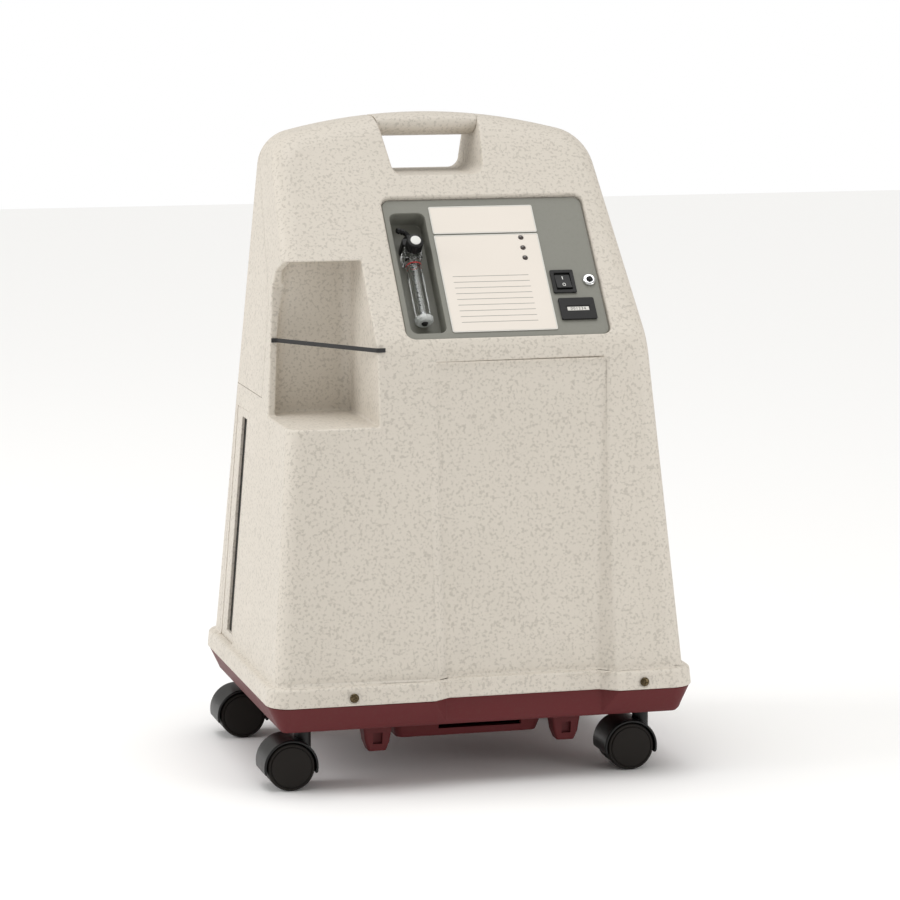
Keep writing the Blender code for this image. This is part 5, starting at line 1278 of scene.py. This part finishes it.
def build_flowmeter():
    """Flowmeter: clear tube, graduations, float, head, knob and outlet."""
    x = (POCKET_LEFT + POCKET_RIGHT) / 2
    axis_w = FACE - POCKET_DEPTH + CLEAR + TUBE_RADIUS + 0.002
    at = PANEL_AT @ Matrix.Translation((x, 0, axis_w))
    up = at @ Matrix.Rotation(math.radians(-90), 4, "X")
    radius = TUBE_RADIUS
    low, high = TUBE_LOW + 0.010, KNOB_V - KNOB_RADIUS - 0.0015
    foot = radius + 0.0012
    sides = [(math.cos(math.tau * i / 12), math.sin(math.tau * i / 12)) for i in range(12)]
    profile = [(TUBE_BORE, low - 0.003), (radius * 0.93, low - 0.003), (radius * 0.93, high),
               (TUBE_BORE, high)]
    tube = turned("flow_tube", profile, up, 48)
    finish_piece(tube, clear_plastic(), "cabinet", ["flowmeter_body"], smooth=50)
    collar = loft("flow_foot", [[(a * r, v, b * r) for a, b in sides] for v, r in (
        (TUBE_LOW + 0.0005, foot * 0.78), (TUBE_LOW + 0.0025, foot), (low - 0.0040, foot),
        (low - 0.0032, foot * 0.86))], at)
    # The foot's milky, bright finish is a painted highlight.
    finish_piece(collar, clear_painted_highlight(), "cabinet", smooth=20, weighted=False)
    head_half, head_top = radius + 0.0012, radius + 0.0007
    head = prism("flow_head", rounded(-head_half, head_half, high + 0.0003, KNOB_V + 0.0040, 0.0028), "Z",
                 -radius - 0.0016, head_top, at)
    soften(head, 0.0012, 3, 40)
    carve(head, [rod("knob_bore", 0.0033, (0, KNOB_V, -0.0055), (0, KNOB_V, 0.02), at)])
    finish_piece(head, clear_plastic(), "cabinet")
    fitting = prism("flow_fitting",
                    rounded(-head_half, head_half, KNOB_V + 0.0044, KNOB_V + HEAD_ABOVE_KNOB, 0.0028),
                    "Z", -radius - 0.0016, head_top, at)
    soften(fitting, 0.0012, 3, 40)
    finish_piece(fitting, black_plastic(), "cabinet")
    lower = [(0, TUBE_LOW - 0.0014), (0.0028, TUBE_LOW - 0.0014), (0.0036, TUBE_LOW + 0.0003),
             (0, TUBE_LOW + 0.0003)]
    finish_piece(turned("flow_foot_plug", lower, up, 24), black_plastic(), "cabinet")
    marks = detail().tube_marks
    span = high - low - 0.014
    for name, size, count, across in (("flow_marks", 0.0022, marks, -0.0034),
                                      ("flow_fine_marks", 0.0016, 2 * marks - 1, 0.0034)):
        ticks = repeated(name, repeat_tree("bar_row", BAR_SIZES, bar_row), {
            "Count": count,
            "Start": Vector((across, low + 0.008, math.sqrt((radius * 0.93) ** 2 - across ** 2))),
            "Pitch": Vector((0, span / (count - 1), 0)), "Bar Size": Vector((size, 0.0005, 0.0010))},
            black_plastic(), at)
        finish_piece(ticks, black_plastic(), "cabinet", weighted=False)
    band = turned("flow_red_mark", [(radius * 0.945, high - 0.006), (radius * 0.955, high - 0.0058),
                                    (radius * 0.955, high - 0.0046), (radius * 0.945, high - 0.0044)], up, 48)
    finish_piece(band, mark_red(), "cabinet")
    ball = bmesh.new()
    bmesh.ops.create_uvsphere(ball, u_segments=32, v_segments=20, radius=TUBE_BORE - 0.0004)
    pebble = solid("float_ball_bead", mesh_from("float_ball_bead", ball),
                   at @ Matrix.Translation((0, TUBE_LOW + 0.006 + TUBE_BORE, 0)))
    finish_piece(pebble, steel(), "float_ball", ["flow_float"])
    knob_at = at @ Matrix.Translation((0, KNOB_V, head_top + CLEAR))
    grip = KNOB_RADIUS - 0.0005
    profile = [(0, -0.0085), (0.003, -0.0085), (0.003, 0), (grip * 0.75, 0.0002), (grip, 0.0028),
               (grip, 0.0140),
               (grip * 0.94, 0.0152), (grip * 0.72, 0.0156), (0, 0.0154)]
    finish_piece(turned("knob_core", profile, knob_at, 48), black_plastic(), "flow_valve", ["flow_knob"])
    ribs = repeated("knob_ribs", repeat_tree("rib_ring", RIB_SIZES, rib_ring), {
        "Count": detail().knob_ribs, "Radius": KNOB_RADIUS - 0.0006,
        "Rib Size": Vector((0.0011, 0.0011, 0.0098))},
        black_plastic(), knob_at @ Matrix.Translation((0, 0, 0.0085)))
    finish_piece(ribs, black_plastic(), "flow_valve", weighted=False)
    cap = turned("knob_cap", [(0, 0.0152), (KNOB_RADIUS * 0.60, 0.0152), (KNOB_RADIUS * 0.60, 0.0160),
                              (KNOB_RADIUS * 0.52, 0.0165), (0, 0.0163)], knob_at, 40)
    finish_piece(cap, mark_white(), "flow_valve")
    top = KNOB_V + HEAD_ABOVE_KNOB + CLEAR
    collar = turned("outlet_collar", [(0, 0), (0.0060, 0), (0.0060, 0.0050), (0.0052, 0.0058), (0, 0.0058)],
                    at @ Matrix.Translation((0, top, 0.002)) @ Matrix.Rotation(math.radians(-90), 4, "X"), 6)
    soften(collar, 0.0004, 2, 40)
    finish_piece(collar, black_plastic(), "cabinet")
    start, corner = Vector((0, top + 0.0050, 0.002)), Vector((0, top + 0.0125, 0.002))
    end = Vector((-0.0125, top + 0.0125, 0.006))
    steps, points = 16, 20
    spine = []
    for i in range(steps + 1):
        t = i / steps
        spine.append((1 - t) ** 2 * start + 2 * t * (1 - t) * corner + t ** 2 * end)
    rings = []
    for i, spot in enumerate(spine):
        run = (spine[min(i + 1, steps)] - spine[max(i - 1, 0)]).normalized()
        side = run.cross(Vector((0, 0, 1))).normalized()
        lift = side.cross(run)
        radius = 0.0028 if i < 9 else 0.0024 + 0.0011 * ((steps - i) % 3) / 2
        turns = [math.tau * k / points for k in range(points)]
        rings.append([spot + radius * (side * math.cos(turn) + lift * math.sin(turn)) for turn in turns])
    finish_piece(loft("outlet_elbow", rings, at), black_plastic(), "cabinet", ["oxygen_outlet"])


def build_strap():
    """Bottle strap, a flat band that turns onto the walls at both ends."""
    z = SHELF + 0.078
    half, thick = 0.00225, 0.0015
    wall_y, face_y = notch_back(z - half) - CLEAR, front_y(z - half) - CLEAR
    left = -half_width(z) + 0.0012
    spine = [(left, wall_y), (left + 0.0055, wall_y), (RECESS_RIGHT - 0.001, face_y),
             (RECESS_RIGHT + 0.008, face_y)]
    path = [Vector(spine[0])]
    for before, corner, after in zip(spine, spine[1:], spine[2:]):
        before, corner, after = Vector(before), Vector(corner), Vector(after)
        a = corner + (before - corner).normalized() * 0.0022
        b = corner + (after - corner).normalized() * 0.0022
        for step in range(5):
            t = step / 4
            path.append((1 - t) ** 2 * a + 2 * t * (1 - t) * corner + t ** 2 * b)
    path.append(Vector(spine[-1]))
    outline = list(path)
    for point in reversed(path):
        outline.append(Vector((point.x, point.y - thick)))
    band = prism("strap_band", [tuple(p) for p in outline], "Z", z - half, z + half)
    soften(band, 0.0004, 2, 40)
    finish_piece(band, strap_rubber(), "cabinet", ["bottle_strap"])


def caster_hood_piece(name, stem):
    """Hood over both wheels, with the web, stem and boss."""
    half = WHEEL_GAP / 2 + WHEEL_WIDTH
    hood, web = WHEEL_RADIUS + HOOD_GAP + HOOD_WALL, WHEEL_GAP / 2 - 0.0005

    def hub(y):
        return Vector((-TRAIL, y, WHEEL_RADIUS))

    fork = rod(name + "_hood", hood, hub(-half), hub(half), stem, 96)
    carve(fork, [block(name + "_under", (-0.08, -0.04, -0.02), (0.04, 0.04, WHEEL_RADIUS * 0.72), stem)])
    soften(fork, 0.0016, 4, 40)
    neck = [(0, WHEEL_RADIUS * 0.9), (0.0085, WHEEL_RADIUS * 0.9), (0.0085, PAN_BOTTOM - 0.003),
            (0.0078, PAN_BOTTOM - 0.0014), (STEM_RADIUS, PAN_BOTTOM - 0.0012),
            (STEM_RADIUS, PAN_BOTTOM + STEM_LENGTH),
            (0, PAN_BOTTOM + STEM_LENGTH)]
    carve(fork, [turned(name + "_neck", neck, stem, 48)], "UNION")
    carve(fork,
          [rod(f"{name}_room_{side}", WHEEL_RADIUS + HOOD_GAP, hub(side * web), hub(side * (half + 0.01)),
               stem, 96)
                 for side in (-1, 1)])
    carve(fork, [rod(name + "_web", 0.0085, hub(-web), hub(web), stem, 48)], "UNION")
    carve(fork, [rod(name + "_bore", AXLE_RADIUS + AXLE_GAP, hub(-0.03), hub(0.03), stem, 32)])
    finish_piece(fork, caster_hood(), f"{name}_swivel", [name + "_fork"], smooth=34)


def build_casters():
    """Four hooded twin-wheel casters."""
    inner, outer = WHEEL_GAP / 2 + CLEAR, WHEEL_GAP / 2 + WHEEL_WIDTH
    depth = outer - 0.003
    radius = WHEEL_RADIUS
    wheel = [(0, depth + CLEAR), (AXLE_RADIUS + CLEAR, depth + CLEAR), (AXLE_RADIUS + CLEAR, inner),
             (radius * 0.94, inner), (radius * 0.975, inner + 0.0005), (radius, inner + 0.002),
             (radius, outer - 0.0042), (radius * 0.985, outer - 0.0026), (radius * 0.96, outer - 0.0016),
             (radius * 0.93, outer - 0.0012), (radius * 0.885, outer - 0.0012),
             (radius * 0.875, outer - 0.0020),
             (radius * 0.845, outer - 0.0020), (radius * 0.835, outer - 0.0008),
             (radius * 0.80, outer - 0.0003),
             (radius * 0.55, outer - 0.0001), (radius * 0.30, outer), (0, outer)]
    for spot, (side, end) in CASTERS.items():
        name = "caster_" + spot
        stem = Matrix.Translation((side * (BASE_WIDTH / 2 - 0.0455), end * (BASE_DEPTH / 2 - 0.054), 0))
        caster_hood_piece(name, stem)
        axle = stem @ Matrix.Translation((-TRAIL, 0, radius)) @ Matrix.Rotation(math.radians(90), 4, "X")
        for label, turn in (("outer", 0), ("inner", math.pi)):
            disc = turned(f"{name}_disc_{label}", wheel, axle @ Matrix.Rotation(turn, 4, "X"), 72)
            finish_piece(disc, wheel_rubber(), f"{name}_wheels", [f"{name}_wheel_{label}"], smooth=28)
        finish_node(name + "_axle", steel())


def build_inside():
    """Finishes for the pieces inside the cabinet, and the mains inlet."""
    for node in ("sieve_bed_left", "sieve_bed_right", "product_tank", "valve_manifold", "compressor_body",
                 "compressor_head_left", "compressor_head_right"):
        finish_node(node, alloy())
    finish_node("chassis_plate", steel())
    for node in ("fan_frame", "fan_rotor", "intake_filter", "exhaust_muffler", "power_inlet"):
        finish_node(node, black_plastic())
    finish_node("heat_exchanger", copper_tube())
    finish_node("control_board", board_green())


def build_stage():
    """Pale floor, soft lights and the camera."""
    bpy.ops.mesh.primitive_plane_add(size=STAGE_SIZE, location=(0, 0, -0.0002))
    floor = bpy.context.object
    floor.name = "studio_floor"
    material = bpy.data.materials.new("studio_floor")
    material.use_nodes = True
    shader = material.node_tree.nodes["Principled BSDF"]
    shader.inputs["Base Color"].default_value = (0.93, 0.93, 0.93, 1)
    shader.inputs["Roughness"].default_value = 0.9
    floor.data.materials.append(material)
    world = bpy.data.worlds.new("studio")
    bpy.context.scene.world = world
    world.use_nodes = True
    sky = world.node_tree.nodes["Background"]
    sky.inputs["Color"].default_value = (1.0, 0.985, 0.95, 1)
    sky.inputs["Strength"].default_value = 0.52
    backdrop = world.node_tree.nodes.new("ShaderNodeBackground")
    backdrop.inputs["Color"].default_value = (1, 1, 1, 1)
    seen = world.node_tree.nodes.new("ShaderNodeLightPath")
    choice = world.node_tree.nodes.new("ShaderNodeMixShader")
    wire(world.node_tree, seen.outputs["Is Camera Ray"], choice.inputs["Fac"])
    wire(world.node_tree, sky.outputs[0], choice.inputs[1])
    wire(world.node_tree, backdrop.outputs[0], choice.inputs[2])
    wire(world.node_tree, choice.outputs[0], world.node_tree.nodes["World Output"].inputs["Surface"])
    target = Vector(LIGHT_TARGET)
    for name, kind, spot, power, width in LIGHTS:
        lamp = bpy.data.lights.new(name, kind)
        lamp.energy = power
        if kind == "SUN":
            lamp.angle = width
        else:
            lamp.size = width
        light = bpy.data.objects.new(name, lamp)
        light.location = spot
        light.rotation_euler = (target - Vector(spot)).to_track_quat("-Z", "Y").to_euler()
        bpy.context.scene.collection.objects.link(light)
    camera_data = bpy.data.cameras.new("camera")
    camera_data.sensor_width = CAMERA_SENSOR
    camera_data.lens = CAMERA_LENS
    camera = bpy.data.objects.new("camera", camera_data)
    camera.location = CAMERA_SPOT
    aim = Vector(CAMERA_TARGET) - camera.location
    camera.rotation_euler = aim.to_track_quat("-Z", "Y").to_euler()
    bpy.context.scene.collection.objects.link(camera)
    bpy.context.scene.camera = camera
    bpy.context.scene.view_settings.view_transform = "Standard"


# ---------------------------------------------------------------- operators and panel

class Builder:
    """Runs the functions that build one group of pieces."""

    def execute(self, context):
        for build in self.builders:
            build()
        return {"FINISHED"}


class CONCENTRATOR_OT_stage(Builder, bpy.types.Operator):
    """Set up the floor, lights and camera"""
    bl_idname = "concentrator.stage"
    bl_label = "Stage"
    builders = (build_stage,)


class CONCENTRATOR_OT_housings(Builder, bpy.types.Operator):
    """Build the front and rear housings"""
    bl_idname = "concentrator.housings"
    bl_label = "Housings"
    builders = (build_housings,)


class CONCENTRATOR_OT_carry_bar(Builder, bpy.types.Operator):
    """Build the carry bar"""
    bl_idname = "concentrator.carry_bar"
    bl_label = "Carry bar"
    builders = (build_carry_bar,)


class CONCENTRATOR_OT_base_pan(Builder, bpy.types.Operator):
    """Build the base pan with its tray and lugs"""
    bl_idname = "concentrator.base_pan"
    bl_label = "Base pan"
    builders = (build_base_pan,)


class CONCENTRATOR_OT_screws(Builder, bpy.types.Operator):
    """Build the housing screws"""
    bl_idname = "concentrator.screws"
    bl_label = "Housing screws"
    builders = (build_screws,)


class CONCENTRATOR_OT_filters(Builder, bpy.types.Operator):
    """Build the side filters"""
    bl_idname = "concentrator.filters"
    bl_label = "Side filters"
    builders = (build_filters,)


class CONCENTRATOR_OT_panel(Builder, bpy.types.Operator):
    """Build the control panel plate"""
    bl_idname = "concentrator.panel"
    bl_label = "Control panel"
    builders = (build_panel,)


class CONCENTRATOR_OT_labels(Builder, bpy.types.Operator):
    """Build the label plates and lamps"""
    bl_idname = "concentrator.labels"
    bl_label = "Labels and lamps"
    builders = (build_labels,)


class CONCENTRATOR_OT_switches(Builder, bpy.types.Operator):
    """Build the rocker switch, breaker and hour meter"""
    bl_idname = "concentrator.switches"
    bl_label = "Switch, breaker and meter"
    builders = (build_switch, build_breaker, build_hour_meter)


class CONCENTRATOR_OT_flowmeter(Builder, bpy.types.Operator):
    """Build the flowmeter, knob and outlet"""
    bl_idname = "concentrator.flowmeter"
    bl_label = "Flowmeter"
    builders = (build_flowmeter,)


class CONCENTRATOR_OT_strap(Builder, bpy.types.Operator):
    """Build the bottle strap"""
    bl_idname = "concentrator.strap"
    bl_label = "Bottle strap"
    builders = (build_strap,)


class CONCENTRATOR_OT_casters(Builder, bpy.types.Operator):
    """Build the four casters"""
    bl_idname = "concentrator.casters"
    bl_label = "Casters"
    builders = (build_casters,)


class CONCENTRATOR_OT_inside(Builder, bpy.types.Operator):
    """Finish the pieces inside the cabinet"""
    bl_idname = "concentrator.inside"
    bl_label = "Inside"
    builders = (build_inside,)


OPERATORS = (CONCENTRATOR_OT_stage, CONCENTRATOR_OT_housings, CONCENTRATOR_OT_carry_bar,
             CONCENTRATOR_OT_base_pan,
             CONCENTRATOR_OT_screws, CONCENTRATOR_OT_filters, CONCENTRATOR_OT_panel, CONCENTRATOR_OT_labels,
             CONCENTRATOR_OT_switches, CONCENTRATOR_OT_flowmeter, CONCENTRATOR_OT_strap,
             CONCENTRATOR_OT_casters,
             CONCENTRATOR_OT_inside)


class CONCENTRATOR_PT_builder(bpy.types.Panel):
    """Lists the settings and the pieces"""
    bl_label = "Oxygen concentrator"
    bl_space_type = "VIEW_3D"
    bl_region_type = "UI"
    bl_category = "Concentrator"

    def draw(self, context):
        for settings in (context.scene.concentrator_form, context.scene.concentrator_detail,
                         context.scene.concentrator_finish):
            box = self.layout.box()
            for label in settings.__annotations__:
                box.prop(settings, label)
        for operator in OPERATORS:
            self.layout.operator(operator.bl_idname)


SETTINGS = {"concentrator_finish": ConcentratorFinish, "concentrator_form": ConcentratorForm,
            "concentrator_detail": ConcentratorDetail}


def register():
    for group in SETTINGS.values():
        bpy.utils.register_class(group)
    for label, group in SETTINGS.items():
        setattr(bpy.types.Scene, label, PointerProperty(type=group))
    for operator in OPERATORS:
        bpy.utils.register_class(operator)
    bpy.utils.register_class(CONCENTRATOR_PT_builder)


def unregister():
    bpy.utils.unregister_class(CONCENTRATOR_PT_builder)
    for operator in reversed(OPERATORS):
        bpy.utils.unregister_class(operator)
    for label, group in SETTINGS.items():
        delattr(bpy.types.Scene, label)
        bpy.utils.unregister_class(group)


def main():
    register()
    for operator in OPERATORS:
        getattr(bpy.ops.concentrator, operator.bl_idname.split(".")[1])()


if __name__ == "__main__":
    main()
